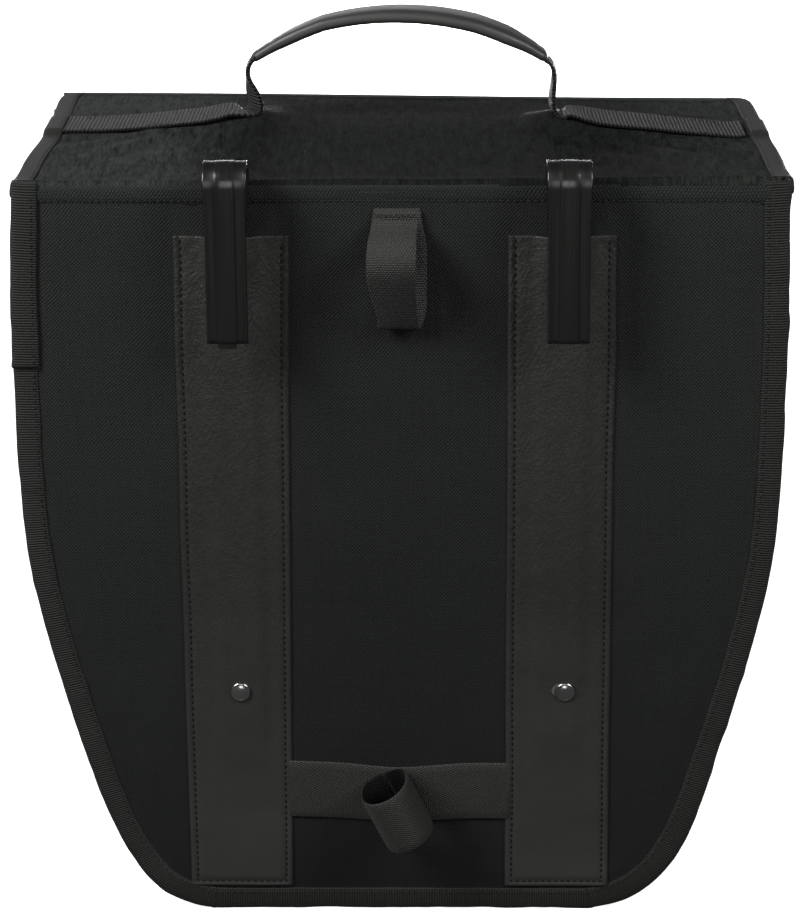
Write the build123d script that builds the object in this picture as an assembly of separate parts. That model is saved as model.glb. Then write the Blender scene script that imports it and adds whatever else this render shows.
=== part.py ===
from build123d import *
import math
import os

# Pannier bag: a soft-sided box bag on a stiffened back panel, hung on a luggage rack by two
# plastic-sleeved steel hooks, closed by a flap with two side-release buckles, carried by a
# webbing handle with a moulded grip. Millimetres, +Z up, the rack side faces -Y.
# Everything is built about the mid-plane between the back and the front panel, and moved by
# SEAM_Y at the end, so that the origin lies on the bottom edge of the back seam.

# ---------------------------------------------------------------- driving dimensions
BAG_H = 386.0            # height of the back panel, from its bottom edge to the fold of the flap
BAG_D = 155.0            # from the outside of the back panel to the outside of the front panel
SEAM_Y = 76.4            # middle of the back seam, behind the mid-plane
FABRIC = 1.2             # coated polyester outer fabric
FLANGE = 1.0             # gusset fabric
TAPE = 0.8               # binding tape
TAPE_W = 12.0            # visible width of the binding tape
BOARD = 2.0              # polyethylene stiffening board
LINING = 0.6
GUSSET_IN = 11.0         # the gusset stands this far inside the panel's outline
MOUTH_DROP = 6.2         # the bag's mouth lies this far under the flap's top face, and slopes with it

FLAP_RISE = 7.5          # the flap rises this much from its fold to its front edge
FLAP_END = 156.5         # depth of the flap's top along its slope
FLAP_HW0, FLAP_HW1 = 181.6, 176.8   # half widths of the flap at the fold and at the front edge
SKIRT_Y = 81.6           # outside face of the flap's front skirt
SKIRT_TOP, SKIRT_BOTTOM = 393.4, 258.0
SKIRT_R = 42.0

HOOK_X = (-79.6, 78.4)   # centres of the two hooks
HOOK_TUBE_R = 7.0        # rack tube of 14 mm at most
HOOK_YC, HOOK_ZC = -90.7, 391.5     # centre of the hook's bend
STRAP_T, STRAP_W = 2.0, 15.0        # steel strap of the hook
SLEEVE_WALL, SLEEVE_W = 0.8, 19.0   # plastic sleeve on the strap
HOOK_END_Z = 317.0       # lower end of the hook's outer leg
RIVET_X = (-80.3, 82.0)
RIVET_Z = 126.0
RIVET_CAP = 10.4

STRIP_TOP, STRIP_BOTTOM = 362.8, 13.3
STRIP_T = 1.4
STRIPS = (((-106.4, -52.0), (-108.7, -56.4)), ((51.0, 102.0), (53.3, 106.0)))  # x at top, x at bottom

WEB_T = 1.6              # webbing thickness
LOOP_X, LOOP_W = -2.0, 24.6
LOOP_Z0, LOOP_Z1, LOOP_OUT = 316.0, 376.0, 26.0
LOWER_Z, LOWER_W = 68.2, 33.0       # centre height and width of the lower strap
RING_R, RING_TILT = 11.5, 21.0      # the lower strap's loop

HANDLE_Y, HANDLE_X = 17.0, 75.5     # line of the handle webbing, and its risers
HANDLE_W = 25.0
GRIP_R, GRIP_TOP = 153.6, 60.0      # radius of the grip's arch, and its middle line above the fold
GRIP_W, GRIP_T = 22.0, 7.0
GRIP_HALF_ANGLE = 27.5

BUCKLE_X = 95.0          # the two buckles, either side of the middle
BUCKLE_HW = 17.0
BUCKLE_Y0, BUCKLE_Y1 = 80.0, 90.0
BUCKLE_STRAP_W = 25.0

# half width of the back panel, with its binding, at each height below the fold
OUTLINE = [
    (8.0, 181.2), (0.0, 181.6), (-25.0, 182.8), (-55.0, 184.2), (-95.0, 184.9), (-136.0, 185.2),
    (-165.0, 184.5), (-182.0, 183.4), (-200.0, 181.4), (-221.7, 177.6), (-243.7, 173.0),
    (-266.0, 167.8), (-288.5, 162.0), (-311.3, 155.8), (-326.0, 151.4), (-337.0, 147.6),
    (-346.0, 143.8), (-354.0, 139.6), (-361.0, 135.2), (-367.0, 130.6), (-372.0, 125.8),
    (-376.5, 120.2), (-380.2, 114.0), (-383.0, 107.4), (-385.0, 100.2), (-386.0, 92.0),
]

os.makedirs("parts", exist_ok=True)


# ---------------------------------------------------------------- helpers
def box(x0, x1, y0, y1, z0, z1):
    return Pos((x0 + x1) / 2, (y0 + y1) / 2, (z0 + z1) / 2) * Box(x1 - x0, y1 - y0, z1 - z0)


def prism(points, axis, low, high):
    """A prism along an axis from a polygon in the plane square to it."""
    if axis == "y":
        line = [(a, low, b) for a, b in points]
        way = (0, 1, 0)
    elif axis == "x":
        line = [(low, a, b) for a, b in points]
        way = (1, 0, 0)
    else:
        line = [(a, b, low) for a, b in points]
        way = (0, 0, 1)
    return extrude(make_face(Polyline(*line, close=True)), amount=high - low, dir=way)


def side(inset, top):
    """The right-hand edge of the panel moved inwards, from the top down to the bottom."""
    base = [(w, BAG_H + z) for z, w in OUTLINE]
    ring = base + [(-base[-1][0], base[-1][1])]
    moved = []
    for i, (x, z) in enumerate(base):
        ax, az = ring[max(i - 1, 0)]
        bx, bz = ring[i + 1]
        if i == len(base) - 1:
            nx, nz = (base[i][1] - base[i - 1][1], base[i - 1][0] - base[i][0])
            length = math.hypot(nx, nz)
            half = math.atan2(-nx / length, nz / length) / 2
            moved.append((x - inset * math.tan(abs(math.atan2(base[i - 1][1] - z, base[i - 1][0] - x)) / 2), z + inset))
            continue
        tx, tz = bx - ax, bz - az
        length = math.hypot(tx, tz)
        moved.append((x + inset * tz / length, z - inset * tx / length))
    out = []
    for i, (x, z) in enumerate(moved):
        if z <= top:
            if not out and i:
                px, pz = moved[i - 1]
                t = (pz - top) / (pz - z)
                if t < 0.999:
                    out.append((px + (x - px) * t, top))
            out.append((x, z))
    if out[0][1] < top - 0.01:
        out.insert(0, (out[0][0], top))
    return out


def outline(inset, top):
    right = side(inset, top)
    return right + [(-x, z) for x, z in reversed(right)]


def band(inner, outer, top):
    """The strip between two insets, down one side, along the bottom and up the other."""
    return outline(outer, top) + list(reversed(outline(inner, top)))


def strip_line(points, thickness):
    """A flat strip of even thickness along a line of straight runs, as a polygon."""
    left, right = [], []
    for i, (x, y) in enumerate(points):
        dirs = []
        if i:
            dirs.append((x - points[i - 1][0], y - points[i - 1][1]))
        if i < len(points) - 1:
            dirs.append((points[i + 1][0] - x, points[i + 1][1] - y))
        dirs = [(a / math.hypot(a, b), b / math.hypot(a, b)) for a, b in dirs]
        tx, ty = sum(d[0] for d in dirs), sum(d[1] for d in dirs)
        length = math.hypot(tx, ty)
        tx, ty = tx / length, ty / length
        grow = 1 / max(0.4, tx * dirs[0][0] + ty * dirs[0][1])
        h = thickness / 2 * grow
        left.append((x - ty * h, y + tx * h))
        right.append((x + ty * h, y - tx * h))
    return left + list(reversed(right))


def rivet_hole(x, r=2.1):
    return Pos(x, -77.0, RIVET_Z) * Rot(90, 0, 0) * Cylinder(r, 30)


PARTS = {}


def keep(name, *solids):
    shape = solids[0] if len(solids) == 1 else Compound(children=[s for s in solids])
    shape = Pos(0, SEAM_Y, 0) * shape if len(solids) == 1 else Compound(children=[Pos(0, SEAM_Y, 0) * s for s in solids])
    PARTS[name] = shape
    export_step(shape, f"parts/{name}.step")


HALF = BAG_D / 2
BACK = -HALF                    # outside of the back panel
BODY_TOP = BAG_H - 1.8          # the back panel stops just under the flap's fold

# ---------------------------------------------------------------- back: panel, board, lining, binding
holes = rivet_hole(RIVET_X[0]) + rivet_hole(RIVET_X[1])
keep("back_panel", prism(outline(1.0, BODY_TOP), "y", BACK, BACK + FABRIC) - holes)
keep("back_board", prism(outline(14.0, 381.0), "y", BACK + FABRIC, BACK + FABRIC + BOARD) - holes)
keep("back_lining", prism(outline(12.4, 378.0), "y", BACK + FABRIC + BOARD, BACK + FABRIC + BOARD + LINING) - holes)


def binding(inset, top, outer_y, inner_y, width, inner_width, bottom=None):
    """Tape folded over a seam: a face each side and the fold along the edge."""
    lo, hi = min(outer_y, inner_y), max(outer_y, inner_y)
    out_face = (outer_y, outer_y + TAPE) if outer_y < inner_y else (outer_y - TAPE, outer_y)
    in_face = (inner_y - TAPE, inner_y) if outer_y < inner_y else (inner_y, inner_y + TAPE)
    body = prism(band(inset, inset + TAPE, top), "y", lo, hi)
    body += prism(band(inset, inset + width, top), "y", *out_face)
    body += prism(band(inset, inset + inner_width, top), "y", *in_face)
    return body


keep("back_binding", binding(0.0, BODY_TOP, BACK - TAPE, BACK + FABRIC + FLANGE + TAPE, TAPE_W, 10.4))

# a second layer of tape where the binding's two ends overlap, down the upper left edge
overlap_low = BAG_H - 89.0
clip = box(-200, -150, -90, -60, overlap_low, BAG_H - 1.8)
outer = prism(band(-0.9, -0.05, BODY_TOP), "y", BACK - 2 * TAPE - 0.05, BACK + FABRIC + FLANGE + 2 * TAPE + 0.05)
outer += prism(band(-0.9, TAPE_W + 0.4, BODY_TOP), "y", BACK - 2 * TAPE - 0.05, BACK - TAPE - 0.05)
keep("binding_overlap", outer & clip)

# the flap's plane
SLOPE = math.asin(FLAP_RISE / FLAP_END)
CS, SN = math.cos(SLOPE), math.sin(SLOPE)


def on_flap(x, v, n):
    """A point of the flap: x across, v from the fold forwards, n above its top face."""
    return (x, -BAG_D / 2 + v * CS - n * SN, BAG_H + v * SN + n * CS)


def flap_plate(points, n0, n1):
    face = make_face(Polyline(*[on_flap(x, v, n0) for x, v in points], close=True))
    return extrude(face, amount=n1 - n0, dir=(0, -SN, CS))


def flap_hw(v):
    return FLAP_HW0 + (FLAP_HW1 - FLAP_HW0) * v / FLAP_END


def flap_rect(v0, v1, inset):
    return [(-flap_hw(v0) + inset, v0), (flap_hw(v0) - inset, v0), (flap_hw(v1) - inset, v1), (-flap_hw(v1) + inset, v1)]


def flap_edge(v0, v1, i0, i1, sign):
    return [(sign * (flap_hw(v0) - i0), v0), (sign * (flap_hw(v0) - i1), v0), (sign * (flap_hw(v1) - i1), v1), (sign * (flap_hw(v1) - i0), v1)]



# ---------------------------------------------------------------- gusset, front panel and their seams
TALL = BAG_H + 7.0
above_mouth = flap_plate([(-200, -8), (200, -8), (200, 175), (-200, 175)], -MOUTH_DROP, 40.0)
gusset = prism(band(GUSSET_IN, GUSSET_IN + FLANGE, TALL), "y", BACK + FABRIC, HALF - FABRIC)
gusset += prism(band(1.0, GUSSET_IN + FLANGE, TALL), "y", BACK + FABRIC, BACK + FABRIC + FLANGE)
gusset += prism(band(1.0, GUSSET_IN + FLANGE, TALL), "y", HALF - FABRIC - FLANGE, HALF - FABRIC)
keep("gusset", gusset - above_mouth)
keep("front_panel", prism(outline(1.0, TALL), "y", HALF - FABRIC, HALF) - above_mouth)
keep("front_binding", binding(0.0, TALL, HALF + TAPE, HALF - FABRIC - FLANGE - TAPE, TAPE_W, 10.4) - above_mouth)

# tape over the raw edge of the mouth: inside the sides and the front, with a lip over the top
mx = side(GUSSET_IN + FLANGE, BAG_H)[0][0]
LIP0, LIP1 = 5.0, 152.6


def lip_plate(x0, x1, v0, v1, n0, n1):
    return flap_plate([(x0, v0), (x1, v0), (x1, v1), (x0, v1)], n0, n1)


mouth = lip_plate(-mx + TAPE + 0.2, mx - TAPE - 0.2, LIP1 - TAPE, LIP1, -17.0, -MOUTH_DROP + TAPE)
mouth += lip_plate(-mx + 0.2, mx - 0.2, LIP1 - TAPE, 154.9, -MOUTH_DROP + 0.05, -MOUTH_DROP + TAPE)
for q in (-1, 1):
    a, b = sorted((q * (mx - TAPE - 0.25), q * (mx - 0.25)))
    c, d = sorted((q * (mx - TAPE - 0.25), q * (mx + FLANGE)))
    mouth += lip_plate(a, b, LIP0, LIP1, -17.0, -MOUTH_DROP + TAPE)
    mouth += lip_plate(c, d, LIP0, LIP1, -MOUTH_DROP + 0.05, -MOUTH_DROP + TAPE)
keep("mouth_binding", mouth)

# board on the floor of the bag
keep("base_board", box(-86, 86, BACK + FABRIC + BOARD + LINING + 0.8, HALF - FABRIC - 0.8, GUSSET_IN + FLANGE + 0.05, GUSSET_IN + FLANGE + 0.05 + BOARD))

# hem of the flap's fabric, sewn down on the back panel just under the fold
keep("hinge_hem", box(-169.2, 169.2, BACK - TAPE, BACK - 0.02, 378.6, 384.2))

# ---------------------------------------------------------------- the leatherette strips that hold the hooks
for i, name in enumerate(("strip_left", "strip_right")):
    (tl, tr), (bl, br) = STRIPS[i]
    hx = HOOK_X[i]
    plate = prism([(tl, STRIP_TOP), (tr, STRIP_TOP), (br, STRIP_BOTTOM), (bl, STRIP_BOTTOM)], "y", BACK - STRIP_T, BACK)
    plate += box(hx - 12, hx + 12, BACK - 5.7, BACK - STRIP_T, 350.0, STRIP_TOP)
    plate += box(hx - 12, hx + 12, BACK - 3.9, BACK - STRIP_T, 110.0, 350.0)
    plate -= box(hx - 8.6, hx + 8.6, BACK - 4.9, BACK, 349.0, STRIP_TOP + 1)
    plate -= box(hx - 8.6, hx + 8.6, BACK - 2.7, BACK, 112.0, 349.5)
    plate -= rivet_hole(RIVET_X[i])
    plate -= prism(band(-1.0, TAPE_W + 0.15, BODY_TOP), "y", BACK - 8, BACK + 1)
    keep(name, plate)

# ---------------------------------------------------------------- hooks: steel strap in a plastic sleeve
def yz_ring(r0, r1, x0, x1):
    """The upper half of a ring about the hook's bend."""
    tube = Pos((x0 + x1) / 2, HOOK_YC, HOOK_ZC) * Rot(0, 90, 0) * (Cylinder(r1, x1 - x0) - Cylinder(r0, x1 - x0 + 1))
    return tube & box(x0 - 1, x1 + 1, HOOK_YC - 20, HOOK_YC + 20, HOOK_ZC, HOOK_ZC + 20)


R0 = HOOK_TUBE_R
R1 = R0 + SLEEVE_WALL
R2 = R1 + STRAP_T
R3 = R2 + SLEEVE_WALL
RIB = 0.6
JOG_TOP, JOG_LOW = 369.0, 356.0
INNER_Y = (BACK - 2.3, BACK - 0.3)   # strap inside the strip


def strap_solid(x0, x1, grow=0.0):
    s = yz_ring(R1, R2, x0, x1)
    s += box(x0, x1, HOOK_YC - R2, HOOK_YC - R1, HOOK_END_Z + 3.0, HOOK_ZC)
    leg = [
        (HOOK_YC + R1, HOOK_ZC), (HOOK_YC + R2, HOOK_ZC), (HOOK_YC + R2, JOG_TOP),
        (INNER_Y[1], JOG_LOW), (INNER_Y[1], 114.0), (INNER_Y[0], 114.0), (INNER_Y[0], JOG_LOW - 0.4),
        (HOOK_YC + R1, JOG_TOP - 0.4),
    ]
    s += prism(leg, "x", x0, x1)
    return s


for i, end in enumerate(("left", "right")):
    hx = HOOK_X[i]
    strap = strap_solid(hx - STRAP_W / 2, hx + STRAP_W / 2)
    keep(f"hook_strap_{end}", strap - rivet_hole(RIVET_X[i]))
    a, b = hx - SLEEVE_W / 2, hx + SLEEVE_W / 2
    sleeve = yz_ring(R0, R3, a, b)
    sleeve += box(a, b, HOOK_YC - R3, HOOK_YC - R0, HOOK_END_Z, HOOK_ZC)
    sleeve += box(a, b, HOOK_YC + R0, HOOK_YC + R3, 372.0, HOOK_ZC)
    for x0, x1 in ((hx - 3.0, hx + 3.0), (a, a + 1.8), (b - 1.8, b)):
        sleeve += yz_ring(R3 - 0.3, R3 + RIB, x0, x1) & box(x0, x1, HOOK_YC - 20, HOOK_YC + 6.0, HOOK_ZC, HOOK_ZC + 20)
        sleeve += box(x0, x1, HOOK_YC - R3 - RIB, HOOK_YC - R3 + 0.3, HOOK_END_Z, HOOK_ZC)
    hollow = strap_solid(hx - STRAP_W / 2 - 0.05, hx + STRAP_W / 2 + 0.05)
    keep(f"hook_sleeve_{end}", sleeve - hollow)

# rivets through strip, hook strap, panel, board and lining, each with a washer inside
caps, washers = [], []
for i, rx in enumerate(RIVET_X):
    face = BACK - 3.9
    back = BACK + FABRIC + BOARD + LINING
    dome_r = 7.8
    sag = dome_r - math.sqrt(dome_r**2 - (RIVET_CAP / 2) ** 2)
    top = face - 0.5 - sag
    half = [(0.0, top)]
    for k in range(1, 9):
        t = math.asin(RIVET_CAP / 2 / dome_r) * k / 8
        half.append((dome_r * math.sin(t), top + dome_r * (1 - math.cos(t))))
    half += [(RIVET_CAP / 2, face), (2.0, face), (2.0, back + 1.0), (3.2, back + 1.0), (3.2, back + 1.5), (2.6, back + 1.9), (0.0, back + 1.9)]
    cap = revolve(make_face(Polyline(*[(rx + r, y, RIVET_Z) for r, y in half], close=True)), axis=Axis((rx, 0, RIVET_Z), (0, 1, 0)), revolution_arc=360)
    caps.append(cap)
    washers.append(Pos(rx, back + 0.5, RIVET_Z) * Rot(90, 0, 0) * (Cylinder(7.0, 0.96) - Cylinder(2.1, 2)))
keep("rivets", *caps)
keep("rivet_washers", *washers)

# ---------------------------------------------------------------- webbing loops on the back
zc, a, b = (LOOP_Z0 + LOOP_Z1) / 2, (LOOP_Z1 - LOOP_Z0) / 2, LOOP_OUT
outer = [(BACK - b * math.cos(t), zc + a * math.sin(t)) for t in [math.pi * (k / 24 - 0.5) for k in range(25)]]
inner = [(BACK - (b - WEB_T) * math.cos(t), zc + (a - WEB_T) * math.sin(t)) for t in [math.pi * (0.5 - k / 24) for k in range(25)]]
loop = prism(outer + inner, "x", LOOP_X - LOOP_W / 2, LOOP_X + LOOP_W / 2)
keep("upper_loop", loop)

lz0, lz1 = LOWER_Z - LOWER_W / 2, LOWER_Z + LOWER_W / 2
lower = box(-55.2, 52.4, BACK - 1.4, BACK, lz0, lz1)
ring_y = BACK - 1.4 - 2.2 - RING_R
ring = Cylinder(RING_R, 30.0) - Cylinder(RING_R - WEB_T, 40.0)
ring = Pos(-2.4, ring_y, LOWER_Z - 6.5) * Rot(0, -RING_TILT, 0) * ring
neck = box(-5.4, 5.4, BACK - 1.4 - 3.4, BACK - 1.0, LOWER_Z - 13, LOWER_Z + 5)
neck -= Pos(-2.4, ring_y, LOWER_Z - 6.5) * Rot(0, -RING_TILT, 0) * Cylinder(RING_R - WEB_T / 2, 60.0)
keep("lower_strap", lower + neck + ring)

# ---------------------------------------------------------------- flap: fabric, board, lining, binding
keep("flap_top", flap_plate(flap_rect(0.3, FLAP_END, 0.9), -FABRIC, 0.0))
keep("flap_board", flap_plate(flap_rect(10.0, 150.0, 14.0), -FABRIC - 1.5, -FABRIC))
keep("flap_lining", flap_plate(flap_rect(8.0, 153.5, 12.0), -FABRIC - 1.5 - LINING, -FABRIC - 1.5))
tapes = []
for s in (-1, 1):
    t = flap_plate(flap_edge(5.2, 154.5, 0.0, TAPE, s), -FABRIC - TAPE, TAPE)
    t += flap_plate(flap_edge(5.2, 154.5, 0.0, 10.0, s), 0.0, TAPE)
    t += flap_plate(flap_edge(5.2, 154.5, 0.0, 10.0, s), -FABRIC - TAPE, -FABRIC)
    tapes.append(t)
keep("flap_binding", *tapes)

HV = (HANDLE_Y - BACK) / CS
tails = []
for s in (-1, 1):
    tails.append(flap_plate([(s * 77.4, HV - HANDLE_W / 2), (s * 167.0, HV - HANDLE_W / 2), (s * 167.0, HV + HANDLE_W / 2), (s * 77.4, HV + HANDLE_W / 2)], 0.0, 1.7))
keep("handle_tails", *tails)

# ---------------------------------------------------------------- handle: webbing with a moulded grip
AXIS_Z = BAG_H + HV * SN + 1.8
arch_z = BAG_H + GRIP_TOP - GRIP_R
end_z = arch_z + GRIP_R * math.cos(math.asin(HANDLE_X / GRIP_R))


def arch(width, thickness, half_angle, radius_in=0.0):
    """A bar bent round the grip's arch, about an axis along Y."""
    r0, r1 = GRIP_R - thickness / 2, GRIP_R + thickness / 2
    n = 20
    up = [(r1 * math.sin(math.radians(-half_angle + 2 * half_angle * k / n)), arch_z + r1 * math.cos(math.radians(-half_angle + 2 * half_angle * k / n))) for k in range(n + 1)]
    down = [(r0 * math.sin(math.radians(half_angle - 2 * half_angle * k / n)), arch_z + r0 * math.cos(math.radians(half_angle - 2 * half_angle * k / n))) for k in range(n + 1)]
    return prism(up + down, "y", HANDLE_Y - width / 2, HANDLE_Y + width / 2)


def arc_bar(width, thickness, half_angle, corner):
    section = Plane(origin=(0, HANDLE_Y, arch_z + GRIP_R), x_dir=(0, 1, 0), z_dir=(1, 0, 0)) * RectangleRounded(width, thickness, corner)
    bar = revolve(section, axis=Axis((0, HANDLE_Y, arch_z), (0, 1, 0)), revolution_arc=half_angle)
    return bar + revolve(section, axis=Axis((0, HANDLE_Y, arch_z), (0, -1, 0)), revolution_arc=half_angle)


core = arc_bar(19.6, 1.8, 29.0, 0.5)
slot = arc_bar(19.7, 1.9, 28.5, 0.5)
grip = arc_bar(GRIP_W, GRIP_T, GRIP_HALF_ANGLE, 3.2) - slot
keep("grip", grip)
web = core
for s in (-1, 1):
    a, b = sorted((s * (HANDLE_X - 0.9), s * (HANDLE_X + 0.9)))
    h0, h1 = AXIS_Z + 0.5, end_z + 0.9
    tri = [(HANDLE_Y - 1.6, h0), (HANDLE_Y + 1.6, h0), (HANDLE_Y + 8.4, h0 + 24.0), (HANDLE_Y + 9.8, h1), (HANDLE_Y - 9.8, h1), (HANDLE_Y - 8.4, h0 + 24.0)]
    web += prism(tri, "x", a, b)
    web += box(min(s * 72.5, s * HANDLE_X), max(s * 72.5, s * HANDLE_X), HANDLE_Y - 9.8, HANDLE_Y + 9.8, end_z - 0.5, end_z + 0.9)
keep("handle_webbing", web)

# ---------------------------------------------------------------- front skirt of the flap
def skirt(inset, top):
    pts = []
    hw0, hw1 = FLAP_HW1, 173.5
    low = SKIRT_BOTTOM + inset
    r = SKIRT_R - inset
    cz = SKIRT_BOTTOM + SKIRT_R
    wc = hw1 + (hw0 - hw1) * (cz - SKIRT_BOTTOM) / (SKIRT_TOP - SKIRT_BOTTOM)
    cx = wc - SKIRT_R
    wt = hw0 - inset
    pts.append((wt, top))
    for k in range(13):
        t = math.radians(90 * k / 12)
        pts.append((cx + r * math.cos(t), cz - r * math.sin(t)))
    return pts + [(-x, z) for x, z in reversed(pts)]


SK_TOP = SKIRT_TOP - 0.3
keep("flap_front", prism(skirt(0.9, SK_TOP), "y", SKIRT_Y - FABRIC, SKIRT_Y))
keep("flap_front_lining", prism(skirt(0.9, SK_TOP), "y", SKIRT_Y - FABRIC - 0.5, SKIRT_Y - FABRIC))


def skirt_band(i0, i1, top):
    return skirt(i1, top) + list(reversed(skirt(i0, top)))


tape = prism(skirt_band(0.0, TAPE, SK_TOP - 1), "y", SKIRT_Y - FABRIC - 0.5 - TAPE, SKIRT_Y + TAPE)
tape += prism(skirt_band(0.0, 10.0, SK_TOP - 1), "y", SKIRT_Y, SKIRT_Y + TAPE)
tape += prism(skirt_band(0.0, 10.0, SK_TOP - 1), "y", SKIRT_Y - FABRIC - 0.5 - TAPE, SKIRT_Y - FABRIC - 0.5)
keep("flap_front_binding", tape)

# ---------------------------------------------------------------- buckles and their webbing
upper_straps = []
for i, end in enumerate(("left", "right")):
    bx = (-1, 1)[i] * BUCKLE_X
    x0, x1 = bx - BUCKLE_STRAP_W / 2, bx + BUCKLE_STRAP_W / 2
    # webbing sewn on the skirt, folded round the upper buckle half's bar
    s = box(x0, x1, SKIRT_Y + 0.02, SKIRT_Y + 0.92 + WEB_T, 268.6, 382.0)
    s += box(x0, x1, SKIRT_Y + 0.9, SKIRT_Y + 0.9 + WEB_T, 256.8, 270.0)
    s += box(x0, x1, 81.4, 88.6, 250.8, 257.7) - box(x0 - 1, x1 + 1, 82.9, 87.1, 252.4, 256.1)
    upper_straps.append(s)

    # upper half, open at its lower end, with a window in each side for the catches
    f = box(bx - BUCKLE_HW, bx + BUCKLE_HW, BUCKLE_Y0, BUCKLE_Y1, 232.0, 256.0)
    f = fillet(f.edges().filter_by(Axis.Z), 3.0)
    f -= box(bx - 13.2, bx + 13.2, 79, 91, 248.0, 252.5)
    f -= box(bx - 13.2, bx + 13.2, 79, 83, 252.0, 257)
    f -= box(bx - 13.2, bx + 13.2, 87, 91, 252.0, 257)
    f -= box(bx - 14.2, bx + 14.2, 81.6, 88.4, 231, 246.6)
    f -= box(bx - 18, bx - 13, 81.8, 88.2, 236.0, 243.5)
    f -= box(bx + 13, bx + 18, 81.8, 88.2, 236.0, 243.5)
    keep(f"buckle_receptacle_{end}", f)

    # lower half: body with a webbing bar and the middle prong
    m = box(bx - BUCKLE_HW, bx + BUCKLE_HW, BUCKLE_Y0, BUCKLE_Y1, 209.0, 231.6)
    m = fillet(m.edges().filter_by(Axis.Z), 3.0)
    m -= box(bx - 13.2, bx + 13.2, 79, 91, 212.6, 218.5)
    m -= box(bx - 13.2, bx + 13.2, 79, 83, 208, 213)
    m -= box(bx - 13.2, bx + 13.2, 87, 91, 208, 213)
    m += box(bx - 2.5, bx + 2.5, 83.0, 87.0, 231.0, 245.5)
    keep(f"buckle_plug_{end}", m)

    # its two spring arms, with the catches that stand in the windows
    arms = []
    for q in (-1, 1):
        line = [(7.6, 231.7), (11.0, 231.7), (12.6, 236.6), (16.4, 237.4), (16.2, 240.2), (13.2, 243.6), (11.4, 243.6), (10.6, 237.5)]
        arms.append(prism([(bx + q * x, z) for x, z in line], "y", 82.2, 87.8))
    keep(f"buckle_arms_{end}", *arms)

    # webbing from the front panel to the lower half, folded round its bar
    t = prism(strip_line([(82.2, 208.6), (82.2, 192.0), (78.4, 158.0), (78.4, 70.0)], WEB_T), "x", x0, x1)
    t += box(x0, x1, 81.4, 88.6, 207.3, 214.1) - box(x0 - 1, x1 + 1, 82.9, 87.1, 208.8, 212.7)
    keep(f"closure_strap_{end}", t)
keep("buckle_straps", *upper_straps)

for name, shape in PARTS.items():
    bb = shape.bounding_box()
    print(name, len(shape.solids()), "solids", round(shape.volume), "mm3", [round(v, 1) for v in (*bb.min, *bb.max)])
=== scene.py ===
import math
import random

import bmesh
import bpy
import numpy as np
from mathutils import Matrix, Vector


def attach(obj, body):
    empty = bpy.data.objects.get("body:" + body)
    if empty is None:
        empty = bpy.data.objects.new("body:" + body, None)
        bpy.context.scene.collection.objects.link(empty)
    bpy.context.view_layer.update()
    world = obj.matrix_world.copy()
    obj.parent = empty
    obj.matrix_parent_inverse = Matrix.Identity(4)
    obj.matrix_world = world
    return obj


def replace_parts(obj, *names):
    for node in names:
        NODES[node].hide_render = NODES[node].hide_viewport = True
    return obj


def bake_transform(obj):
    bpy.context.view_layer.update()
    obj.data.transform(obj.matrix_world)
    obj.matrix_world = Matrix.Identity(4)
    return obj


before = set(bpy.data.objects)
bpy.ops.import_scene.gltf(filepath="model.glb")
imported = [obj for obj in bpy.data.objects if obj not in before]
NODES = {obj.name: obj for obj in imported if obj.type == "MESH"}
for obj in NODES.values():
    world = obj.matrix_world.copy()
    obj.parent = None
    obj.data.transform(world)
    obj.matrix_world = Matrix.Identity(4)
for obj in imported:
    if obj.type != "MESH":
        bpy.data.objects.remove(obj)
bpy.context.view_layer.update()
scene = bpy.context.scene
RNG = np.random.RandomState(7)

# ------------------------------------------------------------------ the bag's measures, in millimetres
# x to the right, y from the mid-plane of the bag towards the front, z up from its lower edge
SEAM_Y = 76.4
BAG_H, BAG_D = 386.0, 155.0
HALF = BAG_D / 2
BACK = -HALF
SLOPE = math.asin(7.5 / 156.5)
CS, SN = math.cos(SLOPE), math.sin(SLOPE)
FLAP_END = 156.5
FLAP_HW0, FLAP_HW1 = 181.6, 176.8
HANDLE_Y, HANDLE_X = 17.0, 75.5
HV = (HANDLE_Y - BACK) / CS
AXIS_Z = BAG_H + HV * SN + 1.8
SKIRT_Y, SKIRT_TOP, SKIRT_BOTTOM, SKIRT_R = 81.6, 393.4, 258.0, 42.0
HOOK_YC, HOOK_ZC = -90.7, 391.5
HOOK_X = (-79.6, 78.4)

OUTLINE = [
    (8.0, 181.2), (0.0, 181.6), (-25.0, 182.8), (-55.0, 184.2), (-95.0, 184.9), (-136.0, 185.2),
    (-165.0, 184.5), (-182.0, 183.4), (-200.0, 181.4), (-221.7, 177.6), (-243.7, 173.0),
    (-266.0, 167.8), (-288.5, 162.0), (-311.3, 155.8), (-326.0, 151.4), (-337.0, 147.6),
    (-346.0, 143.8), (-354.0, 139.6), (-361.0, 135.2), (-367.0, 130.6), (-372.0, 125.8),
    (-376.5, 120.2), (-380.2, 114.0), (-383.0, 107.4), (-385.0, 100.2), (-386.0, 92.0),
]


def row(p):
    """A point in the bag's millimetres, as metres in the row's frame."""
    return (p[0] / 1000, (p[1] + SEAM_Y) / 1000, p[2] / 1000)


def rows(points):
    a = np.asarray(points, float).reshape(-1, 3).copy()
    a[:, 1] += SEAM_Y
    return a / 1000


def smooth01(t):
    t = np.clip(t, 0, 1)
    return t * t * (3 - 2 * t)


def on_flap(x, v, n=0.0):
    x, v, n = np.broadcast_arrays(np.asarray(x, float), v, n)
    return np.stack([x, BACK + v * CS - n * SN, BAG_H + v * SN + n * CS], -1)


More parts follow.
